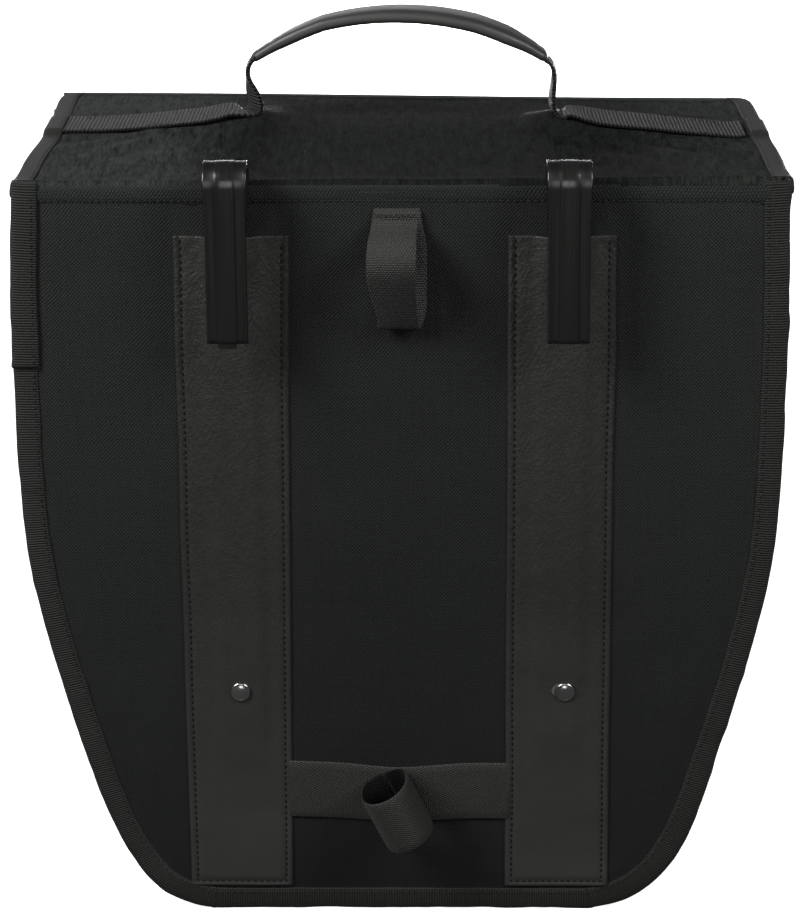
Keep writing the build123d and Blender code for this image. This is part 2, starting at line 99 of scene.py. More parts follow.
def catmull(points, step):
    """A smooth line through the points, sampled about every step."""
    p = np.asarray(points, float)
    p = np.vstack([2 * p[0] - p[1], p, 2 * p[-1] - p[-2]])
    out = []
    for i in range(1, len(p) - 2):
        n = max(2, int(np.linalg.norm(p[i + 1] - p[i]) / step * 3))
        t = np.linspace(0, 1, n, endpoint=False)[:, None]
        a, b, c, d = p[i - 1], p[i], p[i + 1], p[i + 2]
        out.append(0.5 * ((2 * b) + (c - a) * t + (2 * a - 5 * b + 4 * c - d) * t**2 + (3 * b - a - 3 * c + d) * t**3))
    out = np.vstack(out + [p[-2:-1]])
    return resample(out, step)


def resample(line, step, n=None):
    seg = np.linalg.norm(np.diff(line, axis=0), axis=1)
    s = np.concatenate([[0], np.cumsum(seg)])
    n = n or max(3, int(round(s[-1] / step)) + 1)
    q = np.linspace(0, s[-1], n)
    return np.stack([np.interp(q, s, line[:, k]) for k in range(line.shape[1])], 1)


def arc_lengths(line):
    return np.concatenate([[0], np.cumsum(np.linalg.norm(np.diff(line, axis=0), axis=1))])


# the edge of the back panel, right-hand top, down, along the bottom and up to the left-hand top
_right = [(181.5, BAG_H + 3.0)] + [(w, BAG_H + z) for z, w in OUTLINE if z <= 0]
_curve = _right + [(40.0, 0.0), (-40.0, 0.0)] + [(-x, z) for x, z in reversed(_right)]
EDGE = catmull(_curve, 2.0)
EDGE_S = arc_lengths(EDGE)
_t = np.gradient(EDGE, axis=0)
_t /= np.linalg.norm(_t, axis=1)[:, None]
EDGE_N = np.stack([_t[:, 1], -_t[:, 0]], 1)      # points inwards
if np.dot(EDGE_N[10], [-1, 0]) < 0:
    EDGE_N = -EDGE_N


def s_at(z, side):
    """How far along the edge height z lies, on the right (1) or the left (-1)."""
    k = np.nonzero(EDGE[:, 0] * side > 0)[0]
    return float(EDGE_S[k[np.argmin(np.abs(EDGE[k, 1] - z))]])


def edge_points(inset):
    inset = np.broadcast_to(inset, (len(EDGE),))
    return EDGE + EDGE_N * inset[:, None]


def half_width(z, inset=0.0):
    """Half width of the panel at height z, with its edge moved inwards."""
    pts = edge_points(inset)
    half = pts[: len(pts) // 2 + 1]
    order = np.argsort(half[:, 1])
    return np.interp(z, half[order, 1], half[order, 0])


# ------------------------------------------------------------------ smooth noise for soft shapes
def _lattice(seed):
    r = np.random.RandomState(seed)
    return r.uniform(-1, 1, (64, 64))


_LAT = {}


def noise2(x, y, scale, seed=0):
    """Smooth value noise, one cell every scale, between -1 and 1."""
    if seed not in _LAT:
        _LAT[seed] = _lattice(seed)
    g = _LAT[seed]
    u, v = np.asarray(x, float) / scale + 17.3, np.asarray(y, float) / scale + 9.7
    i, j = np.floor(u).astype(int), np.floor(v).astype(int)
    fu, fv = u - i, v - j
    fu, fv = fu**3 * (fu * (fu * 6 - 15) + 10), fv**3 * (fv * (fv * 6 - 15) + 10)
    a, b = g[i % 64, j % 64], g[(i + 1) % 64, j % 64]
    c, d = g[i % 64, (j + 1) % 64], g[(i + 1) % 64, (j + 1) % 64]
    return (a * (1 - fu) + b * fu) * (1 - fv) + (c * (1 - fu) + d * fu) * fv


def fold(x, y, p0, p1, width, height, taper=0.25):
    """A soft ridge along a line, fading out at its ends."""
    p0, p1 = np.array(p0, float), np.array(p1, float)
    d = p1 - p0
    L = np.hypot(*d)
    t = ((x - p0[0]) * d[0] + (y - p0[1]) * d[1]) / L**2
    q = ((x - p0[0]) * -d[1] + (y - p0[1]) * d[0]) / L
    ends = smooth01(t / taper) * smooth01((1 - t) / taper)
    return height * np.exp(-((q / width) ** 2)) * ends


# ------------------------------------------------------------------ meshes
def new_mesh(name, verts, faces, uv=None, smooth=True, mat=None):
    """verts in the bag's millimetres; uv, in millimetres, one per vertex or one per face corner."""
    me = bpy.data.meshes.new(name)
    me.from_pydata([tuple(v) for v in rows(verts)], [], [tuple(int(i) for i in f) for f in faces])
    me.validate()
    if uv is not None:
        layer = me.uv_layers.new(name="cloth")
        uv = np.asarray(uv, float)
        loops = np.zeros(len(me.loops), np.int32)
        me.loops.foreach_get("vertex_index", loops)
        data = uv[loops] if len(uv) == len(verts) else uv
        layer.data.foreach_set("uv", data.astype(np.float32).ravel())
    if smooth:
        me.polygons.foreach_set("use_smooth", np.ones(len(me.polygons), bool))
    me.update()
    o = bpy.data.objects.new(name, me)
    scene.collection.objects.link(o)
    if mat:
        me.materials.append(mat)
    return o


def outward(o):
    bm = bmesh.new()
    bm.from_mesh(o.data)
    bmesh.ops.recalc_face_normals(bm, faces=bm.faces)
    bm.to_mesh(o.data)
    bm.free()
    return o


def grid_faces(n, m, wrap=False, offset=0):
    f = []
    for i in range(n - 1):
        for j in range(m if wrap else m - 1):
            a, b = i * m + j, i * m + (j + 1) % m
            c, d = (i + 1) * m + (j + 1) % m, (i + 1) * m + j
            f.append((a + offset, b + offset, c + offset, d + offset))
    return f


def slab(name, grid, thickness, uv=None, mat=None, normal=None, out=None):
    """A sheet with thickness, from a grid (n, m, 3) of its outer face. out points roughly outwards."""
    n, m, _ = grid.shape
    if normal is None:
        du, dv = np.gradient(grid, axis=0), np.gradient(grid, axis=1)
        normal = np.cross(du, dv)
        normal /= np.maximum(np.linalg.norm(normal, axis=2), 1e-9)[..., None]
        if out is not None and (normal * out).sum() < 0:
            normal = -normal
    back = grid - normal * np.asarray(thickness)[..., None] if np.ndim(thickness) else grid - normal * thickness
    verts = np.vstack([grid.reshape(-1, 3), back.reshape(-1, 3)])
    N = n * m
    faces = grid_faces(n, m) + [tuple(reversed(f)) for f in grid_faces(n, m, offset=N)]
    rim = [i * m for i in range(n)] + [(n - 1) * m + j for j in range(1, m)] + [i * m + m - 1 for i in range(n - 2, -1, -1)] + [j for j in range(m - 2, 0, -1)]
    for k in range(len(rim)):
        a, b = rim[k], rim[(k + 1) % len(rim)]
        faces.append((b, a, a + N, b + N))
    if uv is not None:
        u = uv.reshape(-1, 2)
        uv = np.vstack([u, u])
    o = new_mesh(name, verts, faces, uv, mat=mat)
    return outward(o)


def sweep(name, centre, across, up, section, uv_v=None, closed=True, cap=True, mat=None, slot=None, length0=0.0, loop=False):
    """A section, points (a, b) along across and up, carried along a line. section may be (k,2) or (n,k,2)."""
    centre, across, up = (np.asarray(q, float) for q in (centre, across, up))
    n = len(centre)
    sec = np.asarray(section, float)
    if sec.ndim == 2:
        sec = np.broadcast_to(sec, (n,) + sec.shape)
    k = sec.shape[1]
    pts = centre[:, None, :] + across[:, None, :] * sec[..., 0:1] + up[:, None, :] * sec[..., 1:2]
    s = arc_lengths(centre) + length0
    if uv_v is None:
        uv_v = np.concatenate([[0], np.cumsum(np.linalg.norm(np.diff(sec[0], axis=0), axis=1))])
    faces = grid_faces(n, k, wrap=closed)
    if loop:
        faces += [((n - 1) * k + j, (n - 1) * k + (j + 1) % k, (j + 1) % k, j) for j in range(k)]
    elif cap and closed:
        faces.append(tuple(range(k)))
        faces.append(tuple(reversed(range((n - 1) * k, n * k))))
    uv = np.stack([np.repeat(s[:, None], k, 1), np.broadcast_to(np.asarray(uv_v)[None, :k], (n, k))], -1).reshape(-1, 2)
    o = new_mesh(name, pts.reshape(-1, 3), faces, uv, mat=mat)
    return outward(o)


def ribbon_section(width, thick, crown=0.15, n=9, edge=0.0):
    """A webbing's section: flat, a little crowned, with round edges; across, up. Its underside lies at 0."""
    w = width / 2
    t = np.linspace(-1, 1, n)
    top = [(w * (x * 0.965), thick - crown * x * x + edge * (abs(x) > 0.9)) for x in t]
    r = [(w * 0.992, thick * 0.72), (w, thick * 0.45), (w * 0.985, thick * 0.14)]
    l = [(-a, b) for a, b in reversed(r)]
    bottom = [(w * 0.95, 0.0), (0.0, 0.0), (-w * 0.95, 0.0)]
    return np.array(top + r + bottom + l)


def ribbon_v(width, n=9):
    """v coordinates across the ribbon for ribbon_section's points: across the top, then back along the bottom."""
    sec = ribbon_section(width, 1.6, n=n)
    return sec[:, 0] + width / 2


def ribbon(name, centre, across, width, thick, mat, slot=None, length0=0.0, section=None, **kw):
    centre, across = np.asarray(centre, float), np.asarray(across, float)
    if across.ndim == 1:
        across = np.broadcast_to(across, centre.shape)
    across = across / np.linalg.norm(across, axis=1)[:, None]
    t = np.gradient(centre, axis=0)
    t /= np.maximum(np.linalg.norm(t, axis=1), 1e-9)[:, None]
    up = np.cross(t, across)
    up /= np.maximum(np.linalg.norm(up, axis=1), 1e-9)[:, None]
    if np.ndim(width):
        sec = np.stack([ribbon_section(w, thick) for w in width])
        v = ribbon_v(float(np.mean(width)))
    else:
        sec = ribbon_section(width, thick)
        v = ribbon_v(width)
    return sweep(name, centre, across, up, sec, uv_v=v, mat=mat, slot=slot, length0=length0, **kw)


def stitches(name, line, normal, length, gap, radius, mat, sink=0.15, sag=0.0, jitter=0.12):
    """Thread along a line: one short raised stitch after another."""
    line = resample(np.asarray(line, float), 0.5)
    s = arc_lengths(line)
    pitch = length + gap
    count = int(s[-1] / pitch)
    normal = np.asarray(normal, float)
    if normal.ndim == 1:
        normal = np.broadcast_to(normal, line.shape)
    else:
        q = np.linspace(0, 1, len(normal))
        normal = np.stack([np.interp(np.linspace(0, 1, len(line)), q, normal[:, k]) for k in range(3)], 1)
    verts, faces = [], []
    rng = np.random.RandomState(len(name) * 13 + count)
    rings = [(-0.5, 0.35, -0.9), (-0.36, 0.9, -0.1), (0.0, 1.0, 0.25), (0.36, 0.9, -0.1), (0.5, 0.35, -0.9)]
    for i in range(count):
        c = (i + 0.5) * pitch + rng.uniform(-jitter, jitter)
        p = np.array([np.interp(c, s, line[:, k]) for k in range(3)])
        a = np.array([np.interp(c - 0.6, s, line[:, k]) for k in range(3)])
        b = np.array([np.interp(c + 0.6, s, line[:, k]) for k in range(3)])
        t = (b - a) / max(np.linalg.norm(b - a), 1e-9)
        nn = np.array([np.interp(c, s, normal[:, k]) for k in range(3)])
        nn = nn / np.linalg.norm(nn)
        side = np.cross(t, nn)
        base = len(verts)
        skew = rng.uniform(-0.12, 0.12)
        for (o, r, h) in rings:
            q = p + t * (o * length) + side * (o * skew * length) + nn * (h * radius * 0.8 - sink * radius + radius * 0.45)
            for k in range(6):
                ang = 2 * math.pi * k / 6
                verts.append(q + (side * math.cos(ang) + nn * math.sin(ang) * 0.8) * radius * r)
        for q in range(4):
            for k in range(6):
                faces.append((base + q * 6 + k, base + q * 6 + (k + 1) % 6, base + (q + 1) * 6 + (k + 1) % 6, base + (q + 1) * 6 + k))
        faces.append(tuple(base + k for k in reversed(range(6))))
        faces.append(tuple(base + 24 + k for k in range(6)))
    uv = np.zeros((len(verts), 2))
    return outward(new_mesh(name, np.array(verts), faces, uv, mat=mat))


# ------------------------------------------------------------------ materials
class Tree:
    def __init__(self, name, base, rough, **kw):
        self.m = bpy.data.materials.new(name)
        self.m.use_nodes = True
        self.nt = self.m.node_tree
        self.b = self.nt.nodes["Principled BSDF"]
        self.b.inputs["Base Color"].default_value = (*base, 1)
        self.b.inputs["Roughness"].default_value = rough
        for k, v in kw.items():
            self.b.inputs[k.replace("_", " ")].default_value = v

    def node(self, kind, **props):
        n = self.nt.nodes.new(kind)
        for k, v in props.items():
            setattr(n, k, v)
        return n

    def link(self, a, b):
        self.nt.links.new(a, b)

    def math(self, op, a, b=None, c=None, clamp=False):
        n = self.node("ShaderNodeMath", operation=op, use_clamp=clamp)
        for i, v in enumerate((a, b, c)):
            if v is None:
                continue
            if isinstance(v, (int, float)):
                n.inputs[i].default_value = v
            else:
                self.link(v, n.inputs[i])
        return n.outputs[0]

    def uv(self):
        """The cloth's own coordinates, in millimetres."""
        n = self.node("ShaderNodeUVMap", uv_map="cloth")
        s = self.node("ShaderNodeSeparateXYZ")
        self.link(n.outputs[0], s.inputs[0])
        return s.outputs[0], s.outputs[1], n.outputs[0]

    def place(self):
        n = self.node("ShaderNodeTexCoord")
        return n.outputs["Object"]

    def noise(self, vector, scale, detail=3.0, rough=0.5, distortion=0.0, dims="3D"):
        n = self.node("ShaderNodeTexNoise", noise_dimensions=dims)
        n.inputs["Scale"].default_value = scale
        n.inputs["Detail"].default_value = detail
        n.inputs["Roughness"].default_value = rough
        n.inputs["Distortion"].default_value = distortion
        self.link(vector, n.inputs["Vector"])
        return n.outputs["Fac"]

    def scaled(self, vector, x, y, z=1.0):
        n = self.node("ShaderNodeMapping")
        n.inputs["Scale"].default_value = (x, y, z)
        self.link(vector, n.inputs["Vector"])
        return n.outputs[0]

    def ramp(self, fac, stops):
        n = self.node("ShaderNodeValToRGB")
        e = n.color_ramp.elements
        e[0].position, e[0].color = stops[0][0], (*stops[0][1], 1)
        e[1].position, e[1].color = stops[-1][0], (*stops[-1][1], 1)
        for pos, col in stops[1:-1]:
            q = e.new(pos)
            q.color = (*col, 1)
        self.link(fac, n.inputs[0])
        return n.outputs[0]

    def mix_color(self, fac, a, b):
        n = self.node("ShaderNodeMix", data_type="RGBA")
        if isinstance(fac, (int, float)):
            n.inputs[0].default_value = fac
        else:
            self.link(fac, n.inputs[0])
        for i, v in ((6, a), (7, b)):
            if isinstance(v, tuple):
                n.inputs[i].default_value = (*v, 1)
            else:
                self.link(v, n.inputs[i])
        return n.outputs[2]

    def bump(self, height, distance, strength=1.0, normal=None):
        n = self.node("ShaderNodeBump")
        n.inputs["Strength"].default_value = strength
        n.inputs["Distance"].default_value = distance
        self.link(height, n.inputs["Height"])
        if normal is not None:
            self.link(normal, n.inputs["Normal"])
        return n.outputs[0]

    def color(self, out):
        self.link(out, self.b.inputs["Base Color"])

    def rough(self, out):
        self.link(out, self.b.inputs["Roughness"])

    def normal(self, out):
        self.link(out, self.b.inputs["Normal"])


def times(c, k):
    return tuple(min(1.0, x * k) for x in c)


def fabric(name, base, p=0.85, q=0.93, depth=0.00036, rough=0.72, contrast=0.62, blotch=0.10, sheen=0.02, weave_fade_and_painted_shade=True, slub=0.0, shaded=False, spec=0.18):
    """Plain-woven coated polyester: threads that cross every p and q millimetres."""
    t = Tree(name, base, rough, Sheen_Weight=sheen, Sheen_Roughness=0.45, Specular_IOR_Level=spec)
    t.b.inputs["Sheen Tint"].default_value = (0.8, 0.85, 0.9, 1)
    u, v, uv = t.uv()
    place = t.place()
    # the cloth isn't cut quite straight to its threads, and they wander a little
    wob = t.noise(t.scaled(uv, 0.03, 0.03), 1.0, 2.0)
    du = t.math("MULTIPLY", t.math("SUBTRACT", wob, 0.5), 3.0)
    a = t.math("SINE", t.math("MULTIPLY", t.math("ADD", u, du), math.pi / p))
    b = t.math("SINE", t.math("MULTIPLY", t.math("SUBTRACT", v, du), math.pi / q))
    cross = t.math("MULTIPLY", a, b)
    # the threads' own round backs, warp over weft in turns
    a2 = t.math("ABSOLUTE", a)
    b2 = t.math("ABSOLUTE", b)
    h = t.math("ADD", t.math("MULTIPLY", cross, 0.62), t.math("MULTIPLY", t.math("MULTIPLY", a2, b2), 0.38))
    fine = t.noise(t.scaled(uv, 1.4, 1.4), 1.0, 4.0, 0.7)
    h2 = t.math("ADD", h, t.math("MULTIPLY", fine, 0.45))
    soft = t.noise(place, 14.0, 3.0, 0.55)
    yarn = t.noise(t.scaled(uv, 0.02, 1.1), 1.0, 2.0)
    yarn2 = t.noise(t.scaled(uv, 1.1, 0.02), 1.0, 2.0)
    speck = t.noise(t.scaled(uv, 0.9, 0.9), 1.0, 2.0, 0.6)
    zz = t.node("ShaderNodeSeparateXYZ")
    t.link(place, zz.inputs[0])
    z = zz.outputs[2]
    if weave_fade_and_painted_shade:
        clear = t.math("ADD", t.math("MULTIPLY", z, 2.2), 0.16, clamp=True)
        clear = t.math("MULTIPLY", clear, t.math("ADD", t.math("MULTIPLY", soft, 0.8), 0.6))
    else:
        clear = t.math("ADD", t.math("MULTIPLY", soft, 0.8), 0.6)
    h2 = t.math("ADD", t.math("MULTIPLY", h, clear), t.math("MULTIPLY", fine, 0.45))
    shade = t.math("ADD", t.math("MULTIPLY", t.math("MULTIPLY", h, clear), contrast), 1.0)
    shade = t.math("MULTIPLY", shade, t.math("ADD", t.math("MULTIPLY", t.math("SUBTRACT", soft, 0.5), blotch * 2), 1.0))
    shade = t.math("MULTIPLY", shade, t.math("ADD", t.math("MULTIPLY", t.math("SUBTRACT", speck, 0.5), 0.55), 1.0))
    shade = t.math("MULTIPLY", shade, t.math("ADD", t.math("MULTIPLY", t.math("SUBTRACT", t.math("ADD", yarn, yarn2), 1.0), 0.34), 1.0))
    if slub:
        s1 = t.noise(t.scaled(uv, 0.75, 0.16), 1.0, 3.0, 0.6)
        s2 = t.noise(t.scaled(uv, 0.28, 0.07), 1.0, 3.0, 0.6)
        both = t.math("SUBTRACT", t.math("ADD", s1, s2), 1.0)
        shade = t.math("MULTIPLY", shade, t.math("ADD", t.math("MULTIPLY", both, slub), 1.0, clamp=False))
    if shaded:
        # painted shade and light: darker between the hooks, paler towards its ends and its front edge
        def ramp(out, a, b, lo, hi):
            n = t.node("ShaderNodeMapRange", interpolation_type="SMOOTHSTEP")
            t.link(out, n.inputs[0])
            for k, q in zip((1, 2, 3, 4), (a, b, lo, hi)):
                n.inputs[k].default_value = q
            return n.outputs[0]

        left = ramp(zz.outputs[0], -0.066, -0.120, 0.0, 1.32)
        right = ramp(zz.outputs[0], 0.100, 0.165, 0.0, 0.65)
        far = ramp(zz.outputs[1], 0.085, 0.150, 0.0, 0.60)
        shade = t.math("MULTIPLY", shade, t.math("ADD", t.math("ADD", left, right), t.math("ADD", far, 0.80)))
        shade = t.math("MULTIPLY", shade, 0.55)
        base = times(base, 1 / 0.55)
    if weave_fade_and_painted_shade:
        # painted shade: a little darker in the middle and low down
        xx = t.math("MULTIPLY", zz.outputs[0], 9.5)
        bell = t.math("EXPONENT", t.math("MULTIPLY", t.math("MULTIPLY", xx, xx), -1.0))
        low = t.math("ADD", t.math("MULTIPLY", z, 1.15), 0.66, clamp=True)
        # painted light: paler along the fold at the top
        top = t.math("MULTIPLY", t.math("SUBTRACT", z, 0.352, clamp=True), 5.0)
        low = t.math("ADD", low, top)
        shade = t.math("MULTIPLY", shade, t.math("MULTIPLY", low, t.math("SUBTRACT", 1.10, t.math("MULTIPLY", bell, 0.20))))
    half = t.math("MULTIPLY", shade, 0.5, clamp=True)
    t.color(t.ramp(half, [(0.0, (0, 0, 0)), (1.0, times(base, 2.0))]))
    t.rough(t.math("ADD", t.math("MULTIPLY", fine, 0.16), rough - 0.08))
    t.normal(t.bump(h2, depth))
    return t.m


def ribbed(name, base, period, depth, rough=0.6, contrast=0.45, edge=0.0, width=25.0, spec=0.2, lines=0.0, sheen=0.02, skew=0.0):
    """Grosgrain and webbing: ribs square to the length, every period millimetres."""
    t = Tree(name, base, rough, Sheen_Weight=sheen, Sheen_Roughness=0.4, Specular_IOR_Level=spec)
    u, v, uv = t.uv()
    wob = t.noise(t.scaled(uv, 0.05, 0.12), 1.0, 2.0)
    uu = t.math("ADD", t.math("ADD", u, t.math("MULTIPLY", v, skew)), t.math("MULTIPLY", wob, period * 0.6))
    a = t.math("SINE", t.math("MULTIPLY", uu, 2 * math.pi / period))
    rib = t.math("ADD", t.math("MULTIPLY", a, 0.5), 0.5)
    rib = t.math("POWER", rib, 0.7)
    # warp threads that run along the tape
    w = t.math("SINE", t.math("MULTIPLY", v, 2 * math.pi / 0.75))
    fine = t.noise(t.scaled(uv, 1.6, 1.6), 1.0, 3.0, 0.7)
    h = t.math("ADD", rib, t.math("MULTIPLY", w, 0.10 + lines))
    h2 = t.math("ADD", h, t.math("MULTIPLY", fine, 0.30))
    soft = t.noise(t.place(), 22.0, 3.0)
    shade = t.math("ADD", t.math("MULTIPLY", t.math("SUBTRACT", h, 0.5), contrast * 2), 1.0)
    # painted shade: darker towards both edges of the webbing, where its curled edge lies in shadow
    if edge:
        shade = t.math("MULTIPLY", shade, t.math("MULTIPLY", t.math("ADD", t.math("MULTIPLY", v, 1.0 / edge), 0.15, clamp=True), t.math("ADD", t.math("MULTIPLY", t.math("SUBTRACT", 24.0, v), 1.0 / edge), 0.15, clamp=True)))
    shade = t.math("MULTIPLY", shade, t.math("ADD", t.math("MULTIPLY", t.math("SUBTRACT", soft, 0.5), 0.3), 1.0))
    half = t.math("MULTIPLY", shade, 0.5, clamp=True)
    t.color(t.ramp(half, [(0.0, (0, 0, 0)), (1.0, times(base, 2.0))]))
    t.rough(t.math("ADD", t.math("MULTIPLY", fine, 0.2), rough - 0.1))
    t.normal(t.bump(h2, depth))
    return t.m


def webbing(name, base, depth=0.0004, rough=0.5, px=1.65, py=3.0, contrast=0.35, spec=0.22):
    """Flat nylon webbing: a small diamond weave."""
    t = Tree(name, base, rough, Sheen_Weight=0.03, Sheen_Roughness=0.4, Specular_IOR_Level=spec)
    u, v, uv = t.uv()
    wob = t.noise(t.scaled(uv, 0.06, 0.1), 1.0, 2.0)
    uu = t.math("ADD", u, t.math("MULTIPLY", wob, 1.2))
    a = t.math("SINE", t.math("MULTIPLY", uu, 2 * math.pi / py))
    b = t.math("SINE", t.math("MULTIPLY", v, 2 * math.pi / px))
    cross = t.math("MULTIPLY", a, b)
    c = t.math("SINE", t.math("MULTIPLY", uu, 2 * math.pi / (py * 0.5)))
    fine = t.noise(t.scaled(uv, 1.5, 1.5), 1.0, 4.0, 0.7)
    h = t.math("ADD", t.math("MULTIPLY", cross, 0.42), t.math("MULTIPLY", c, 0.2))
    h2 = t.math("ADD", h, t.math("MULTIPLY", fine, 0.5))
    soft = t.noise(t.place(), 30.0, 3.0)
    shade = t.math("ADD", t.math("MULTIPLY", h, contrast), 1.0)
    shade = t.math("MULTIPLY", shade, t.math("ADD", t.math("MULTIPLY", t.math("SUBTRACT", t.math("ADD", soft, fine), 1.0), 0.35), 1.0))
    half = t.math("MULTIPLY", shade, 0.5, clamp=True)
    t.color(t.ramp(half, [(0.0, (0, 0, 0)), (1.0, times(base, 2.0))]))
    t.rough(t.math("ADD", t.math("MULTIPLY", fine, 0.2), rough - 0.1))
    t.normal(t.bump(h2, depth))
    return t.m


def leatherette(name, base):
    """PVC-coated cloth with a fine creased grain."""
    t = Tree(name, base, 0.5, Specular_IOR_Level=0.25)
    u, v, uv = t.uv()
    place = t.place()
    warp = t.noise(t.scaled(uv, 0.04, 0.025), 1.0, 2.0)
    n = t.node("ShaderNodeVectorMath", operation="ADD")
    t.link(uv, n.inputs[0])
    comb = t.node("ShaderNodeCombineXYZ")
    t.link(t.math("MULTIPLY", warp, 14.0), comb.inputs[0])
    t.link(t.math("MULTIPLY", warp, 9.0), comb.inputs[1])
    t.link(comb.outputs[0], n.inputs[1])
    wv = n.outputs[0]

    def creases(angle, sx, sy, power, seed):
        """Fine ridged lines that run along one direction."""
        r = t.node("ShaderNodeVectorRotate", rotation_type="Z_AXIS")
        t.link(wv, r.inputs["Vector"])
        r.inputs["Angle"].default_value = math.radians(angle)
        r.inputs["Center"].default_value = (seed * 37.0, seed * 11.0, 0)
        q = t.noise(t.scaled(r.outputs[0], sx, sy), 1.0, 2.5, 0.5)
        q = t.math("SUBTRACT", 1.0, t.math("ABSOLUTE", t.math("MULTIPLY", t.math("SUBTRACT", q, 0.5), 5.0)), clamp=True)
        return t.math("POWER", q, power)

    a = creases(20, 0.36, 0.07, 3.0, 1)
    b = creases(-34, 0.30, 0.06, 3.0, 2)
    c = creases(74, 0.34, 0.08, 4.0, 3)
    fine = t.noise(t.scaled(uv, 1.1, 1.1), 1.0, 5.0, 0.65)
    mid = t.noise(t.scaled(uv, 0.20, 0.12), 1.0, 4.0, 0.6)
    h = t.math("ADD", t.math("MULTIPLY", a, 0.34), t.math("MULTIPLY", b, 0.34))
    h = t.math("ADD", h, t.math("MULTIPLY", c, 0.22))
    # worn smoother towards the lower end
    zz = t.node("ShaderNodeSeparateXYZ")
    t.link(place, zz.inputs[0])
    z = zz.outputs[2]
    calm = t.math("ADD", t.math("MULTIPLY", z, 3.4), -0.12, clamp=True)
    h = t.math("MULTIPLY", h, calm)
    h = t.math("ADD", h, t.math("MULTIPLY", fine, 0.60))
    h = t.math("ADD", h, t.math("MULTIPLY", mid, 0.35))
    shade = t.math("ADD", t.math("MULTIPLY", t.math("SUBTRACT", h, 0.62), 0.46), 1.0)
    soft = t.noise(place, 9.0, 3.0)
    shade = t.math("MULTIPLY", shade, t.math("ADD", t.math("MULTIPLY", t.math("SUBTRACT", soft, 0.5), 0.22), 1.0))
    # painted reflection: paler towards the lower end, where the white floor would show in it
    low = t.math("SUBTRACT", 1.0, t.math("MULTIPLY", z, 5.4), clamp=True)
    shade = t.math("MULTIPLY", shade, t.math("ADD", t.math("MULTIPLY", low, 0.66), 0.76))
    half = t.math("MULTIPLY", shade, 0.5, clamp=True)
    t.color(t.ramp(half, [(0.0, (0, 0, 0)), (1.0, times(base, 2.0))]))
    t.rough(t.math("ADD", t.math("MULTIPLY", fine, 0.3), 0.34))
    t.normal(t.bump(h, 0.00040))
    return t.m


def plastic(name, base, rough, bump=0.00006, scale=900.0, coat=0.0, spec=0.5, streak=False):
    t = Tree(name, base, rough, Specular_IOR_Level=spec, Coat_Weight=coat, Coat_Roughness=0.12)
    place = t.place()
    n = t.noise(place, scale, 3.0)
    m = t.noise(place, 35.0, 4.0, 0.6)
    if streak:   # drawn along its length, as an extruded profile is
        m = t.noise(t.scaled(place, 1500.0, 300.0, 9.0), 1.0, 3.0)
    t.rough(t.math("ADD", t.math("MULTIPLY", m, 0.22), rough - 0.11))
    half = t.math("ADD", t.math("MULTIPLY", m, 0.25), 0.375)
    t.color(t.ramp(half, [(0.0, (0, 0, 0)), (1.0, times(base, 2.0))]))
    t.normal(t.bump(t.math("ADD", n, t.math("MULTIPLY", m, 0.6)), bump))
    return t.m


def metal(name, base, rough, scale=60.0, bump=0.00003):
    t = Tree(name, base, rough, Metallic=1.0)
    place = t.place()
    m = t.noise(place, scale, 5.0, 0.6)
    f = t.noise(t.scaled(place, 1200.0, 1200.0, 60.0), 1.0, 2.0)
    t.rough(t.math("ADD", t.math("MULTIPLY", m, 0.25), rough - 0.1))
    t.color(t.ramp(m, [(0.25, times(base, 0.75)), (0.75, times(base, 1.15))]))
    t.normal(t.bump(f, bump))
    return t.m


C_FAB = (0.0105, 0.0118, 0.0108)
M_PANEL = fabric("outer_weave", times(C_FAB, 1.07), contrast=0.68, spec=0.10)
# the flap's top: the panel's cloth with a darker base colour, as painted shade
M_FLAP = fabric("flap_weave", times(C_FAB, 0.84), depth=0.0003, contrast=0.62, sheen=0.0, weave_fade_and_painted_shade=False, slub=2.2, shaded=True, spec=0.02)
M_GUSSET = fabric("gusset_weave", times(C_FAB, 0.95), depth=0.00026, weave_fade_and_painted_shade=False)
M_LINING = fabric("lining_weave", (0.035, 0.037, 0.040), p=0.4, q=0.4, depth=0.00008, rough=0.5, contrast=0.12, sheen=0.0)
M_TAPE = ribbed("grosgrain_tape", (0.0098, 0.0098, 0.0089), 1.29, 0.00028, contrast=0.55)
M_TAPE_SMOOTH = ribbed("flap_tape", (0.0096, 0.0094, 0.0088), 0.85, 0.00016, contrast=0.22, rough=0.66)
M_WEB = webbing("loop_webbing", (0.0215, 0.0218, 0.0205), px=1.3, py=2.3, contrast=0.6, depth=0.0005)
M_WEB_FLAT = webbing("strap_webbing", (0.0192, 0.0192, 0.0180), depth=0.0003, px=1.3, py=2.2, contrast=0.3)
# a near-black copy of the strap webbing, as painted shadow inside the lower loop
M_WEB_PAINTED_SHADOW = webbing("strap_webbing_painted_shadow", (0.0030, 0.0032, 0.0030), depth=0.0003, px=1.3, py=2.2, contrast=0.2, spec=0.05)
M_HANDLE_WEB = ribbed("handle_webbing_ribs", (0.0150, 0.0150, 0.0140), 1.9, 0.00095, contrast=0.98, rough=0.6, skew=0.045, edge=1.3)
M_LEATHER = leatherette("leatherette_grain", (0.0200, 0.0200, 0.0186))
M_THREAD = ribbed("thread", (0.010, 0.010, 0.010), 0.5, 0.00005, contrast=0.2)
M_STRIP_THREAD = ribbed("strip_thread", (0.0035, 0.0035, 0.0035), 0.5, 0.00005, contrast=0.2, spec=0.1)
